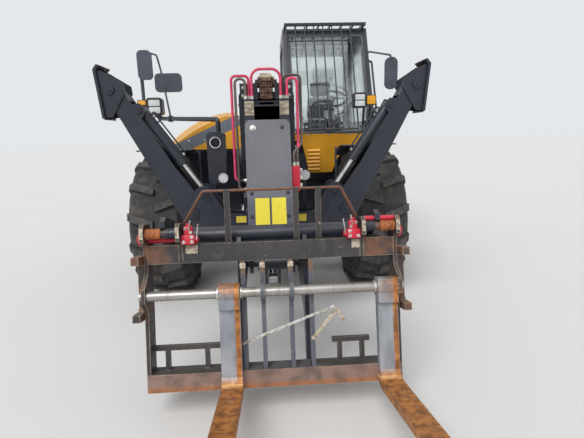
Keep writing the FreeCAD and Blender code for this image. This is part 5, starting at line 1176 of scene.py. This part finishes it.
class HANDLER_OT_cylinder_fittings(bpy.types.Operator):
    """Adds the collars and pipe of the lift cylinder and the collars, ports and pipes of the stabilisers' props"""
    bl_idname = "handler.cylinder_fittings"
    bl_label = "Cylinder fittings"

    def execute(self, context):
        bore = sizes().pipe
        mesh = bmesh.new()
        foot, eye = at(0, 2430, 760), at(0, 900, 1290)
        line = (eye - foot).normalized()
        under = line.cross(Vector((1, 0, 0))).normalized()
        if under.z > 0:
            under = -under
        add_sleeve(mesh, foot + line * 1.355, line, 0.0745, 0.082, 0.044, 40)
        add_sleeve(mesh, foot + line * 0.12, line, 0.0745, 0.08, 0.03, 40)
        for start, end in ((0.2, 1.3),):
            run = [foot + line * start + under * 0.07, foot + line * start + under * 0.1,
                   foot + line * end + under * 0.1, foot + line * end + under * 0.07]
            add_tube(mesh, rounded_path(run, 0.02), 0.009, 12)
        finished("lift_cylinder_collars", mesh, "lift_barrel", "black", slot="black")

        mid_y = -870
        for name, side in SIDES:
            foot, eye = at(side * 883.8, mid_y, 1613.8), at(side * 474, mid_y, 1020)
            line = (eye - foot).normalized()
            up = Vector((-side * abs(line.z), 0, abs(line.x)))
            mesh = bmesh.new()
            add_sleeve(mesh, foot + line * 0.436, line, 0.0438, 0.0475, 0.03, 32)
            for start, end, reach, shift in ((0.08, 0.41, 0.062, 0.0), (0.06, 0.13, 0.075, -0.02)):
                step = Vector((0, shift, 0))
                run = [foot + line * start + up * 0.04 + step, foot + line * start + up * reach + step,
                       foot + line * end + up * reach + step, foot + line * end + up * 0.04 + step]
                add_tube(mesh, rounded_path(run, 0.016), bore, 10)
            finished(f"prop_pipes_{name}", mesh, f"prop_barrel_{name}", "black", slot="black")
            mesh = bmesh.new()
            for along in (0.08, 0.41):
                add_disc(mesh, foot + line * along + up * 0.042, up, 0.011, 0.014, 6, 0.001)
            finished(f"prop_ports_{name}", mesh, f"prop_barrel_{name}", "zinc", slot="bright")
        return {"FINISHED"}


class HANDLER_OT_stabiliser_fittings(bpy.types.Operator):
    """Adds the pin caps and keepers of the stabilisers and the blank labels by them"""
    bl_idname = "handler.stabiliser_fittings"
    bl_label = "Stabiliser fittings"

    def execute(self, context):
        mesh = bmesh.new()
        for side in (1, -1):
            for x, y, z, radius in ((555, -971.3, 880, 0.036), (474, -967.3, 1020, 0.026)):
                add_disc(mesh, at(side * x, y + 0.5, z), (0, -1, 0), radius, 0.006, 32, 0.001)
                add_bolt(mesh, at(side * x, y - 5, z), (0, -1, 0), radius * 0.36)
            x0, x1 = span(side, 0.575, 0.618)
            add_block(mesh, (x0, AXLE_Y - 0.9655, 0.868), (x1, AXLE_Y - 0.959, 0.892), 0.001, 1)
            for x in (0.606,):
                add_bolt(mesh, (side * x, AXLE_Y - 0.9655, 0.88), (0, -1, 0), 0.006)
            for x, z in ((0.2, 0.62), (0.3, 0.62), (0.42, 0.62), (0.52, 0.62), (0.2, 0.75), (0.3, 0.75)):
                add_bolt(mesh, (side * x, AXLE_Y - 0.9593, z), (0, -1, 0), 0.009)
        finished("stabiliser_pin_caps", mesh, "chassis", "black", slot="black")

        mesh = bmesh.new()
        for x0, x1, z0, z1 in ((-0.252, -0.178, 0.8, 0.848), (0.176, 0.262, 0.796, 0.848)):
            add_block(mesh, (x0, AXLE_Y - 0.9605, z0), (x1, AXLE_Y - 0.9592, z1), 0.0004, 1)
        finished("blank_labels", mesh, "chassis", "label", smooth=False, slot="yellow")

        for name, side in SIDES:
            mesh = bmesh.new()
            for y, way in ((-967, -1), (-773, 1)):
                add_disc(mesh, at(side * 1057.5, y + 0.5 * -way, 1750.3), (0, way, 0), 0.03, 0.005, 32, 0.001)
                add_bolt(mesh, at(side * 1057.5, y + 4 * way, 1750.3), (0, way, 0), 0.01)
            finished(f"foot_pin_caps_{name}", mesh, f"foot_{name}", "black", slot="black")
            mesh = bmesh.new()
            for y, way in ((-951, -1), (-789, 1)):
                add_disc(mesh, at(side * 883.8, y + 0.5 * -way, 1613.8), (0, way, 0), 0.024, 0.005, 28, 0.001)
                add_bolt(mesh, at(side * 883.8, y + 4 * way, 1613.8), (0, way, 0), 0.008)
            turn = math.radians(60)
            for along in (0.12, 0.46):
                for off in (-0.07, 0.062):
                    x = 0.555 + along * math.cos(turn) - off * math.sin(turn)
                    z = 0.88 + along * math.sin(turn) + off * math.cos(turn)
                    add_disc(mesh, (side * x, AXLE_Y - 0.9446, z), (0, -1, 0), 0.009, 0.004, 20, 0.001)
            finished(f"leg_pin_caps_{name}", mesh, f"leg_{name}", "black", slot="black")
        return {"FINISHED"}


def rounded_outline(corners, bend, steps=5):
    return rounded_path(corners, bend, steps, closed=True)


def screen_face(z):
    """The machine y of the windscreen's outside at a height, in millimetres."""
    return 495 + (z - 1410) * 505 / 1150


class HANDLER_OT_lamps(bpy.types.Operator):
    """Adds the bezels, reflectors, lenses and amber indicators of the headlamps and the work lamps"""
    bl_idname = "handler.lamps"
    bl_label = "Lamps"

    def execute(self, context):
        for side, (x, y, z) in {"right": (-986, -100, 1692), "left": (948, 380, 1740)}.items():
            mesh = bmesh.new()
            rim = [at(x + a, y, z + b) for a, b in ((-55, -63), (55, -63), (55, 63), (-55, 63))]
            add_tube(mesh, rounded_outline(rim, 0.018), 0.0075, 10, closed=True)
            add_block(mesh, at(x - 52, y - 6, z - 4), at(x + 52, y - 1, z + 1), 0.001, 1)
            for a, b in ((-59, 70), (59, 70), (-59, -70), (59, -70)):
                add_bolt(mesh, at(x + a * 0.93, y + 0.3, z + b * 0.96), (0, -1, 0), 0.0035)
            finished(f"lamp_bezel_{side}", mesh, "chassis", "plastic", slot="plastic")
            mesh = bmesh.new()
            for low, high, flutes in ((3, 60, 7), (-60, -6, 5)):
                outline = [at(x + a, y + 2, z + b) for a, b in ((-50, low), (50, low), (50, high), (-50, high))]
                add_prism(mesh, rounded_outline(outline, 0.008, 4), (0, -0.006, 0), 0.0015)
                for n in range(flutes):
                    a = -50 + 100 * (n + 0.5) / flutes
                    add_tube(mesh, [at(x + a, y - 3.5, z + low + 6), at(x + a, y - 3.5, z + high - 6)], 0.002, 8)
            finished(f"lamp_lens_{side}", mesh, "chassis", "lamp", slot="lamp")
        mesh = bmesh.new()
        x, y, z = -986, -100, 1692
        outline = [at(x + a, y + 8, z + b) for a, b in ((-141, -49), (-72, -49), (-72, 53), (-141, 53))]
        add_prism(mesh, rounded_outline(outline, 0.014, 4), (0, -0.012, 0), 0.004)
        for n in range(6):
            b = -38 + n * 16
            add_tube(mesh, [at(x - 134, y - 3.6, z + b), at(x - 79, y - 3.6, z + b)], 0.0022, 8)
        finished("indicator_lens_right", mesh, "chassis", "amber", slot="lamp")
        mesh = bmesh.new()
        x, y, z = 948, 380, 1740
        outline = [at(x + a, y + 8, z + b) for a, b in ((74, -42), (160, -42), (160, 42), (74, 42))]
        add_prism(mesh, rounded_outline(outline, 0.012, 4), (0, -0.01, 0), 0.004)
        for n in range(5):
            b = -30 + n * 15
            add_tube(mesh, [at(x + 82, y - 1.8, z + b), at(x + 152, y - 1.8, z + b)], 0.0022, 8)
        finished("indicator_lens_left", mesh, "chassis", "amber", slot="lamp")

        mesh, glass = bmesh.new(), bmesh.new()
        for x, z in ((-341, 1118), (269, 1121)):
            front = at(x, -842, z)
            add_sleeve(mesh, front + Vector((0, 0.012, 0)), (0, -1, 0), 0.031, 0.0375, 0.018, 40)
            add_disc(glass, front + Vector((0, 0.0005, 0)), (0, -1, 0), 0.031, 0.003, 40, 0.001)
            add_disc(glass, front - Vector((0, 0.002, 0)), (0, -1, 0), 0.009, 0.003, 20, 0.001)
            for n in range(12):
                turn = 2 * math.pi * n / 12
                way = Vector((math.cos(turn), 0, math.sin(turn)))
                add_tube(glass, [front - Vector((0, 0.003, 0)) + way * 0.011,
                                 front - Vector((0, 0.003, 0)) + way * 0.028], 0.0016, 6)
        finished("work_lamp_rims", mesh, "chassis", "bright", slot="bright")
        finished("work_lamp_lenses", glass, "chassis", "lamp", slot="lamp")

        mesh, glass = bmesh.new(), bmesh.new()
        ring, _ = seat_point("lamp_pod", at(-390 + 40, -1200, 1378), (0, 1, 0))
        centre = Vector((at(-390, 0, 1378).x, ring.y, at(0, 0, 1378).z))
        add_sleeve(mesh, centre + Vector((0, 0.002, 0)), (0, -1, 0), 0.035, 0.043, 0.008, 40)
        add_disc(glass, centre + Vector((0, 0.004, 0)), (0, -1, 0), 0.0352, 0.004, 40, 0.001)
        finished("pod_lamp_ring", mesh, "chassis", "bright", slot="bright")
        finished("pod_lamp_glass", glass, "chassis", "dark_glass", slot="glass")

        mesh = bmesh.new()
        for side in (1, -1):
            x0, x1 = sorted((side * 360, side * 520))
            add_block(mesh, at(x0, 3634, 812), at(x1, 3640, 908), 0.002, 1)
        finished("tail_lamp_plates", mesh, "chassis", "plastic", slot="plastic")
        for key, near, far in (("tail", 0.366, 0.44), ("amber", 0.444, 0.514)):
            mesh = bmesh.new()
            for side in (1, -1):
                x0, x1 = span(side, near, far)
                add_block(mesh, (x0, AXLE_Y + 3.6345, 0.82), (x1, AXLE_Y + 3.6398, 0.9), 0.0025, 2)
            finished(f"{key}_lenses", mesh, "chassis", key, slot="lamp")
        mesh = bmesh.new()
        add_block(mesh, at(-130, 3637, 790), at(130, 3640, 900), 0.001, 1)
        finished("number_plate", mesh, "chassis", "number", smooth=False, slot="yellow")
        return {"FINISHED"}


class HANDLER_OT_mirror_faces(bpy.types.Operator):
    """Adds the silvered glass of the three mirrors, on the side that faces the driver, and their clamps"""
    bl_idname = "handler.mirror_faces"
    bl_label = "Mirror faces"

    def execute(self, context):
        mesh, rims, clamps = bmesh.new(), bmesh.new(), bmesh.new()
        for x0, x1, z0, z1, y, bend in ((-1092, -970, 1915, 2157, -102, 0.035), (-957, -728, 1809, 1965, -102, 0.032),
                                        (1147, 1267, 1822, 2118, 214, 0.05)):
            corners = [at(x0 + 8, y, z0 + 8), at(x1 - 8, y, z0 + 8), at(x1 - 8, y, z1 - 8), at(x0 + 8, y, z1 - 8)]
            add_prism(mesh, rounded_outline(corners, bend, 6), (0, 0.0016, 0))
            add_tube(rims, rounded_outline(corners, bend, 6), 0.004, 8, closed=True)
        for x, z in ((-1050, 2060), (-890, 1890), (-1075, 1940)):
            add_sleeve(clamps, at(x, -92, z - 14), (0, 0, 1), 0.0085, 0.013, 0.028, 24)
        finished("mirror_glasses", mesh, "chassis", "mirror", smooth=False, slot="bright")
        finished("mirror_rims", rims, "chassis", "plastic", slot="plastic")
        finished("mirror_clamps", clamps, "chassis", "case", slot="plastic")
        return {"FINISHED"}


class HANDLER_OT_cab_trim(bpy.types.Operator):
    """Adds the window seals, the wiper, the grab rail, the door's handle and the bolts of the cab"""
    bl_idname = "handler.cab_trim"
    bl_label = "Cab trim"

    def execute(self, context):
        seal = sizes().seal
        mesh = bmesh.new()
        corners = [at(x, screen_face(z), z) for x, z in ((284, 1434), (1088, 1434), (1088, 2470), (284, 2470))]
        add_tube(mesh, rounded_outline(corners, 0.05, 7), seal, 10, closed=True)
        corners = [at(x, 1960 - (z - 1500) * 50 / 1060, z)
                   for x, z in ((295, 1490), (1055, 1490), (1055, 2420), (295, 2420))]
        add_tube(mesh, rounded_outline(corners, 0.05, 7), seal, 10, closed=True)
        corners = [at(x, y, 2560.5) for x, y in ((315, 1160), (1035, 1160), (1035, 1780), (315, 1780))]
        add_tube(mesh, rounded_outline(corners, 0.02, 5), seal, 10, closed=True)
        corners = [at(205, y, z) for y, z in ((730, 1490), (1090, 2420), (1860, 2420), (1890, 1490))]
        add_tube(mesh, rounded_outline(corners, 0.02, 5), 0.005, 10, closed=True)
        corners = [at(1144.5, y, z) for y, z in ((855, 955), (855, 1398), (693, 1467), (1066, 2436), (1874, 2436),
                                                 (1906, 1500), (1906, 955))]
        add_tube(mesh, rounded_outline(corners, 0.02, 5), 0.004, 8, closed=True)
        finished("cab_seals", mesh, "chassis", "trim", slot="plastic")
        mesh = bmesh.new()
        for corners, bend in (([(760, 1540), (1110, 2370), (1820, 2370), (1840, 1540)], 0.03),
                              ([(920, 1030), (920, 1440), (1840, 1440), (1840, 1030)], 0.02)):
            add_tube(mesh, rounded_outline([at(1144, y, z) for y, z in corners], bend, 6), seal, 10, closed=True)
            add_tube(mesh, rounded_outline([at(1110, y, z) for y, z in corners], bend, 6), seal, 10, closed=True)
        finished("door_seals", mesh, "door", "trim", slot="plastic")

        mesh = bmesh.new()
        add_block(mesh, at(604, screen_face(1455) - 26, 1437), at(716, screen_face(1455) - 2, 1473), 0.006, 3)
        for x, far in ((650, 898), (690, 938)):
            run = [at(x, screen_face(1466) - 20, 1466), at(x + 4, screen_face(1490) - 24, 1490),
                   at(far, screen_face(1728) - 20, 1728)]
            add_tube(mesh, rounded_path(run, 0.014, 4), 0.0045, 8)
            add_disc(mesh, at(x, screen_face(1462) - 24, 1462), (0, -0.9, 0.4), 0.011, 0.008, 20, 0.002)
        add_block(mesh, at(888, screen_face(1728) - 26, 1716), at(948, screen_face(1728) - 14, 1740), 0.004, 2)
        add_flat(mesh, at(922, screen_face(1500) - 13, 1500), at(922, screen_face(2000) - 13, 2000), 0.012, 0.01,
                 (1, 0, 0), 0.002)
        finished("wiper", mesh, "chassis", "trim", slot="plastic")
        mesh = bmesh.new()
        add_flat(mesh, at(922, screen_face(1490) - 5.5, 1490), at(922, screen_face(2010) - 5.5, 2010), 0.004, 0.007,
                 (1, 0, 0), 0.001)
        finished("wiper_blade", mesh, "chassis", "rubber", slot="plastic")

        mesh = bmesh.new()
        run = [at(1143, 660, 1620), at(1192, 664, 1624), at(1192, 916, 2196), at(1143, 912, 2192)]
        add_tube(mesh, rounded_path(run, 0.032, 7), 0.0115, 14)
        for y, z in ((660, 1620), (912, 2192)):
            add_disc(mesh, at(1144.5, y, z), (1, 0, 0), 0.024, 0.004, 28, 0.001)
        finished("grab_rail", mesh, "chassis", "black", slot="black")

        mesh = bmesh.new()
        add_block(mesh, at(1166, 934, 1465), at(1180, 1086, 1495), 0.006, 3)
        add_disc(mesh, at(1180, 952, 1480), (1, 0, 0), 0.011, 0.004, 24, 0.001)
        finished("door_handle", mesh, "door", "plastic", slot="plastic")

        mesh, door = bmesh.new(), bmesh.new()
        for z in (1080, 1420):
            for step in (-14, 14):
                add_bolt(door, at(1152, 1872, z + step), (1, 0, 0), 0.006)
            for step in (-40.3, 40.3):
                add_bolt(mesh, at(1152, 1934, z + step), (1, 0, 0), 0.006)
        for x, z in ((262, 1402), (420, 1405), (640, 1405), (860, 1400), (1034, 1392), (455, 1022), (664, 1022),
                     (706, 1128), (818, 1262)):
            add_seated_bolt(mesh, "cab_front_panel", at(x, -200, z), (0, 1, 0), 0.006)
        for x in (244, 1104):
            for y in (1250, 1600):
                add_bolt(mesh, at(x, y, 2559.8), (0, 0, 1), 0.009)
        finished("cab_bolts", mesh, "chassis", "zinc", slot="bright")
        finished("door_bolts", door, "door", "zinc", slot="bright")
        return {"FINISHED"}


class HANDLER_OT_cab_interior(bpy.types.Operator):
    """Adds the padded seat, the console, the dials, the steering wheel's hub and the pedals"""
    bl_idname = "handler.cab_interior"
    bl_label = "Cab interior"

    def execute(self, context):
        lean = Matrix.Rotation(math.radians(-7.8), 4, "X")
        flat = Matrix.Identity(4)
        low, high = at(520, 1284, 1274), at(900, 1712, 1384)
        seat = cushion("seat_cushion", low, high, flat, 0.006, [(0, low.x + 0.09), (0, high.x - 0.09),
                       (1, low.y + 0.15)], "chassis", "cloth")
        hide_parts("seat")
        low, high = at(530, 1634, 1396), at(890, 1742, 1862)
        cushion("seat_back", low, high, lean, 0.006, [(0, low.x + 0.08), (0, high.x - 0.08), (2, high.z - 0.13)],
                "chassis", "cloth")
        low, high = at(580, 1690, 1892), at(840, 1776, 2068)
        cushion("headrest", low, high, lean, 0.005, [], "chassis", "cloth")

        mesh = bmesh.new()
        add_block(mesh, at(548, 1740, 1420), at(872, 1762, 1880), 0.01, 3, turn=lean)
        add_block(mesh, at(540, 1300, 1256), at(880, 1724, 1276), 0.006, 2)
        for x in (660, 760):
            add_tube(mesh, [at(x, 1722, 1840), at(x, 1732, 1920)], 0.007, 12)
        for x in (486, 934):
            add_block(mesh, at(x - 24, 1370, 1512), at(x + 24, 1640, 1556), 0.014, 4)
            add_block(mesh, at(x - 9, 1600, 1420), at(x + 9, 1660, 1530), 0.006, 2)
        finished("seat_frame", mesh, "chassis", "plastic", slot="plastic")
        mesh = bmesh.new()
        for n in range(7):
            z, inset = 962 + n * 42, 0 if n % 2 else 22
            add_block(mesh, at(570 + inset, 1370 + inset, z), at(850 - inset, 1710 - inset, z + 43), 0.014, 3)
        add_block(mesh, at(560, 1360, 940), at(860, 1720, 966), 0.004, 2)
        finished("seat_bellows", mesh, "chassis", "rubber", slot="plastic")

        mesh = bmesh.new()
        add_block(mesh, at(392, 1250, 941), at(470, 1700, 1420), 0.022, 4)
        add_block(mesh, at(400, 1262, 1414), at(462, 1688, 1428), 0.005, 2)
        stick = at(430, 1330, 1424)
        for n in range(4):
            add_disc(mesh, stick + Vector((0, 0, n * 0.011)), (0, 0, 1), 0.034 - n * 0.006, 0.012, 24, 0.004)
        add_tube(mesh, [stick + Vector((0, 0, 0.03)), stick + Vector((0, -0.012, 0.13))], 0.007, 12)
        add_tube(mesh, [stick + Vector((0, -0.011, 0.115)), stick + Vector((0, -0.02, 0.2))], 0.018, 16)
        for n in range(4):
            add_block(mesh, at(414, 1440 + n * 52, 1424), at(448, 1476 + n * 52, 1436), 0.004, 2)
        finished("joystick_console", mesh, "chassis", "plastic", slot="plastic")

        mesh = bmesh.new()
        normal = Vector((0, -math.sin(math.radians(30)), math.cos(math.radians(30))))
        along = Vector((0, math.cos(math.radians(30)), math.sin(math.radians(30))))
        hub = at(730, 900, 1800)
        add_disc(mesh, hub - normal * 0.014, normal, 0.046, 0.034, 36, 0.009)
        for way in (1,):
            add_flat(mesh, hub, hub - along * 0.19 * way, 0.012, 0.026, normal, 0.003)
        add_block(mesh, at(650, 700, 1500), at(810, 800, 1556), 0.014, 4)
        for side in (1, -1):
            add_tube(mesh, [at(730, 790, 1600), at(730 + side * 120, 760, 1640)], 0.006, 10)
            add_tube(mesh, [at(730 + side * 96, 766, 1632), at(730 + side * 128, 758, 1643)], 0.011, 12)
        for x, z0, z1 in ((400, 1090, 1170), (550, 1100, 1180)):
            add_block(mesh, at(x - 34, 645, z0), at(x + 34, 657, z1), 0.004, 2)
            for n in range(5):
                add_block(mesh, at(x - 30, 655, z0 + 8 + n * 14), at(x + 30, 660, z0 + 14 + n * 14), 0.001, 1)
            add_tube(mesh, [at(x, 648, (z0 + z1) / 2), at(x, 625, z1 + 60)], 0.008, 10)
        finished("wheel_hub_and_pedals", mesh, "chassis", "plastic", slot="plastic")
        mesh, rims = bmesh.new(), bmesh.new()
        up = Vector((0, 0.554, 0.832))
        for x in (697, 763):
            seat_at = at(x, 770, 1580)
            add_disc(mesh, seat_at - up * 0.002, up, 0.0215, 0.004, 32)
            add_sleeve(rims, seat_at - up * 0.002, up, 0.0215, 0.026, 0.009, 32)
        finished("dials", mesh, "chassis", "dial", smooth=False, slot="plastic")
        finished("dial_rims", rims, "chassis", "bright", slot="bright")
        return {"FINISHED"}


class HANDLER_OT_engine_trim(bpy.types.Operator):
    """Adds the louvres, latches and bolts of the engine cover and the engine's parts beneath it"""
    bl_idname = "handler.engine_trim"
    bl_label = "Engine trim"

    def execute(self, context):
        mesh = bmesh.new()
        for n in range(10):
            z = 760 + n * 40
            add_block(mesh, at(-1092, 1150, z), at(-1083, 1750, z + 20), 0.004, 2)
        frame_corners = [at(-1086, y, z) for y, z in ((1120, 735), (1780, 735), (1780, 1165), (1120, 1165))]
        add_tube(mesh, rounded_outline(frame_corners, 0.02, 5), 0.006, 8, closed=True)
        for y in (900, 1860):
            add_block(mesh, at(-1091, y - 26, 1230), at(-1084, y + 26, 1282), 0.005, 2)
        finished("pod_louvres", mesh, "chassis", "black", slot="black")
        mesh = bmesh.new()
        for y, z in ((880, 600), (880, 1000), (1880, 600), (1880, 1000), (1400, 600), (1000, 1240), (1760, 1240)):
            add_seated_bolt(mesh, "engine_pod", at(-1600, y, z), (1, 0, 0), 0.009)
        finished("pod_bolts", mesh, "chassis", "zinc", slot="bright")

        mesh = bmesh.new()
        for y in (760, 1180, 1600, 1980):
            place, normal = seat_point("bonnet", at(-1040, y, 2200), (0, 0, -1))
            add_bolt(mesh, place, normal, 0.008)
        for x in (-480, -640, -800):
            place, normal = seat_point("bonnet", at(x, -400, 1380), (0, 1, 0))
            add_bolt(mesh, place, normal, 0.008)
        finished("bonnet_bolts", mesh, "bonnet", "zinc", slot="bright")
        mesh = bmesh.new()
        place, normal = seat_point("bonnet", at(-1600, 1400, 1312), (1, 0, 0))
        add_block(mesh, place - Vector((0.006, 0.04, 0.009)), place + Vector((0.002, 0.04, 0.009)), 0.003, 2)
        finished("bonnet_handle", mesh, "bonnet", "plastic", slot="plastic")

        mesh = bmesh.new()
        add_block(mesh, at(-722, 950, 1399), at(-520, 1750, 1468), 0.022, 4)
        for n in range(7):
            y = 1010 + n * 110
            add_disc(mesh, at(-621, y, 1467), (0, 0, 1), 0.016, 0.012, 6, 0.002)
        add_block(mesh, at(-500, 1000, 1399), at(-446, 1700, 1440), 0.012, 3)
        for n in range(4):
            y = 1060 + n * 180
            run = [at(-520, y, 1430), at(-480, y, 1452), at(-462, y, 1440)]
            add_tube(mesh, rounded_path(run, 0.014), 0.012, 12)
        finished("rocker_cover", mesh, "chassis", "iron", slot="iron")
        mesh = bmesh.new()
        add_tube(mesh, [at(-800, 1080, 1448), at(-800, 1440, 1448)], 0.05, 32)
        for y in (1086, 1130, 1390, 1434):
            add_sleeve(mesh, at(-800, y - 5, 1448), (0, 1, 0), 0.0495, 0.0535, 0.01, 40)
        run = [at(-800, 1440, 1448), at(-800, 1540, 1448), at(-740, 1620, 1440), at(-700, 1640, 1430)]
        add_tube(mesh, rounded_path(run, 0.035), 0.026, 20)
        finished("air_filter", mesh, "chassis", "plastic", slot="plastic")
        mesh = bmesh.new()
        add_tube(mesh, rounded_path([at(-850, 950, 1398), at(-850, 950, 1420), at(-850, 1080, 1420),
                                     at(-850, 1080, 1398)], 0.016), 0.008, 12)
        add_disc(mesh, at(-760, 905, 1000), (0, -1, 0), 0.11, 0.03, 40, 0.006)
        add_disc(mesh, at(-560, 905, 1140), (0, -1, 0), 0.07, 0.03, 36, 0.005)
        finished("engine_belt_wheels", mesh, "chassis", "iron", slot="iron")
        return {"FINISHED"}


class HANDLER_OT_chassis_trim(bpy.types.Operator):
    """Adds the step treads, the tank's cap, the pins and bolts of the chassis and the tail weight"""
    bl_idname = "handler.chassis_trim"
    bl_label = "Chassis trim"

    def execute(self, context):
        mesh = bmesh.new()
        for z in (494, 784):
            for n in range(6):
                x = 915 + n * 30
                add_block(mesh, at(x, 1012, z - 1), at(x + 10, 1408, z + 4), 0.0015, 1)
        finished("step_treads", mesh, "chassis", "worn", slot="bright")
        mesh = bmesh.new()
        place, normal = seat_point("tank_and_steps", at(1500, 1640, 690), (-1, 0, 0))
        add_disc(mesh, place, normal, 0.05, 0.012, 40, 0.002)
        add_disc(mesh, place + normal * 0.012, normal, 0.038, 0.02, 12, 0.004)
        finished("tank_cap", mesh, "chassis", "plastic", slot="plastic")

        mesh = bmesh.new()
        for side in (1, -1):
            for x, y, z, radius in ((217, 2900, 1620, 0.07), (206, 2430, 760, 0.045)):
                place, normal = at(side * x, y, z), Vector((side, 0, 0))
                add_disc(mesh, place, normal, radius, 0.01, 40, 0.002)
                for n in range(4):
                    turn = math.pi * (n + 0.5) / 2
                    step = Vector((0, math.cos(turn), math.sin(turn))) * radius * 0.62
                    add_bolt(mesh, place + normal * 0.0095 + step, normal, 0.008)
        for side in (1, -1):
            for n in range(3):
                add_seated_bolt(mesh, "tail_weight", at(side * 500, 4300, 600 + n * 150), (0, -1, 0), 0.014)
        finished("chassis_pin_caps", mesh, "chassis", "zinc", slot="bright")
        return {"FINISHED"}


class HANDLER_OT_floor_and_light(bpy.types.Operator):
    """Makes the floor, the soft light and the camera"""
    bl_idname = "handler.floor_and_light"
    bl_label = "Floor, light and camera"

    def execute(self, context):
        stage = context.scene.handler_stage
        scene = context.scene
        mesh = bmesh.new()
        bmesh.ops.create_grid(mesh, x_segments=1, y_segments=1, size=60)
        data = bpy.data.meshes.new("floor")
        mesh.to_mesh(data)
        mesh.free()
        floor = bpy.data.objects.new("floor", data)
        scene.collection.objects.link(floor)
        f = Finish("floor_surface")
        f.set(Base_Color=f.mix(f.noise(0.6, 3), (0.66, 0.665, 0.66), (0.71, 0.71, 0.70)), Roughness=0.9)
        data.materials.append(f.material)

        world = bpy.data.worlds.new("even_light")
        scene.world = world
        world.use_nodes = True
        tree = world.node_tree
        light = tree.nodes["Background"]
        light.inputs["Color"].default_value = (1, 1, 1, 1)
        light.inputs["Strength"].default_value = stage.sky
        seen = tree.nodes.new("ShaderNodeBackground")
        seen.inputs["Color"].default_value = (0.78, 0.80, 0.82, 1)
        seen.inputs["Strength"].default_value = 1.0
        path = tree.nodes.new("ShaderNodeLightPath")
        either = tree.nodes.new("ShaderNodeMath")
        either.operation = "MAXIMUM"
        tree.links.new(path.outputs["Is Camera Ray"], either.inputs[0])
        glossy = tree.nodes.new("ShaderNodeMath")
        glossy.operation = "MAXIMUM"
        tree.links.new(path.outputs["Is Glossy Ray"], glossy.inputs[0])
        tree.links.new(path.outputs["Is Transmission Ray"], glossy.inputs[1])
        tree.links.new(glossy.outputs[0], either.inputs[1])
        chosen = tree.nodes.new("ShaderNodeMixShader")
        tree.links.new(either.outputs[0], chosen.inputs["Fac"])
        tree.links.new(light.outputs[0], chosen.inputs[1])
        tree.links.new(seen.outputs[0], chosen.inputs[2])
        tree.links.new(chosen.outputs[0], tree.nodes["World Output"].inputs["Surface"])

        lamp = bpy.data.lights.new("soft_sun", "SUN")
        lamp.energy = stage.sun
        lamp.angle = math.radians(35)
        sun = bpy.data.objects.new("soft_sun", lamp)
        sun.rotation_euler = (math.radians(42), 0, math.radians(-24))
        scene.collection.objects.link(sun)

        camera = bpy.data.objects.new("camera", bpy.data.cameras.new("camera"))
        scene.collection.objects.link(camera)
        camera.data.sensor_width = 36
        camera.data.lens = 36 * stage.focal_share
        camera.data.clip_end = 200
        camera.matrix_world = (Matrix.Translation(stage.eye) @ Matrix.Rotation(-stage.yaw, 4, "Z")
                               @ Matrix.Rotation(math.pi / 2 - stage.pitch, 4, "X")
                               @ Matrix.Rotation(-stage.roll, 4, "Z"))
        scene.camera = camera
        scene.view_settings.view_transform = "Standard"
        return {"FINISHED"}


class HANDLER_PT_panel(bpy.types.Panel):
    """Lists the steps that dress the handler"""
    bl_idname = "HANDLER_PT_panel"
    bl_label = "Handler"
    bl_space_type = "VIEW_3D"
    bl_region_type = "UI"
    bl_category = "Handler"

    def draw(self, context):
        for operator in OPERATORS:
            self.layout.operator(operator.bl_idname)
        for group in GROUPS:
            settings = getattr(context.scene, group)
            box = self.layout.box()
            for name in settings.bl_rna.properties.keys():
                if name not in ("rna_type", "name"):
                    box.prop(settings, name)


OPERATORS = (
    HANDLER_OT_floor_and_light, HANDLER_OT_frame_finishes, HANDLER_OT_wheel_nuts, HANDLER_OT_tyre_walls,
    HANDLER_OT_mudguard_trim, HANDLER_OT_axle_bolts, HANDLER_OT_hook_fittings, HANDLER_OT_hitch_pins,
    HANDLER_OT_nose_cover_plates, HANDLER_OT_boom_fittings, HANDLER_OT_hose_fittings,
    HANDLER_OT_cylinder_fittings, HANDLER_OT_stabiliser_fittings, HANDLER_OT_lamps, HANDLER_OT_mirror_faces,
    HANDLER_OT_cab_trim, HANDLER_OT_cab_interior, HANDLER_OT_engine_trim, HANDLER_OT_chassis_trim,
)
GROUPS = {"handler_colours": HandlerColours, "handler_sizes": HandlerSizes, "handler_stage": HandlerStage}


def register():
    for group in GROUPS.values():
        bpy.utils.register_class(group)
    for name, group in GROUPS.items():
        setattr(bpy.types.Scene, name, PointerProperty(type=group))
    for operator in OPERATORS:
        bpy.utils.register_class(operator)
    bpy.utils.register_class(HANDLER_PT_panel)


def unregister():
    bpy.utils.unregister_class(HANDLER_PT_panel)
    for operator in reversed(OPERATORS):
        bpy.utils.unregister_class(operator)
    for name, group in GROUPS.items():
        delattr(bpy.types.Scene, name)
        bpy.utils.unregister_class(group)


def main():
    register()
    for operator in OPERATORS:
        group, step = operator.bl_idname.split(".")
        getattr(getattr(bpy.ops, group), step)()


if __name__ == "__main__":
    main()
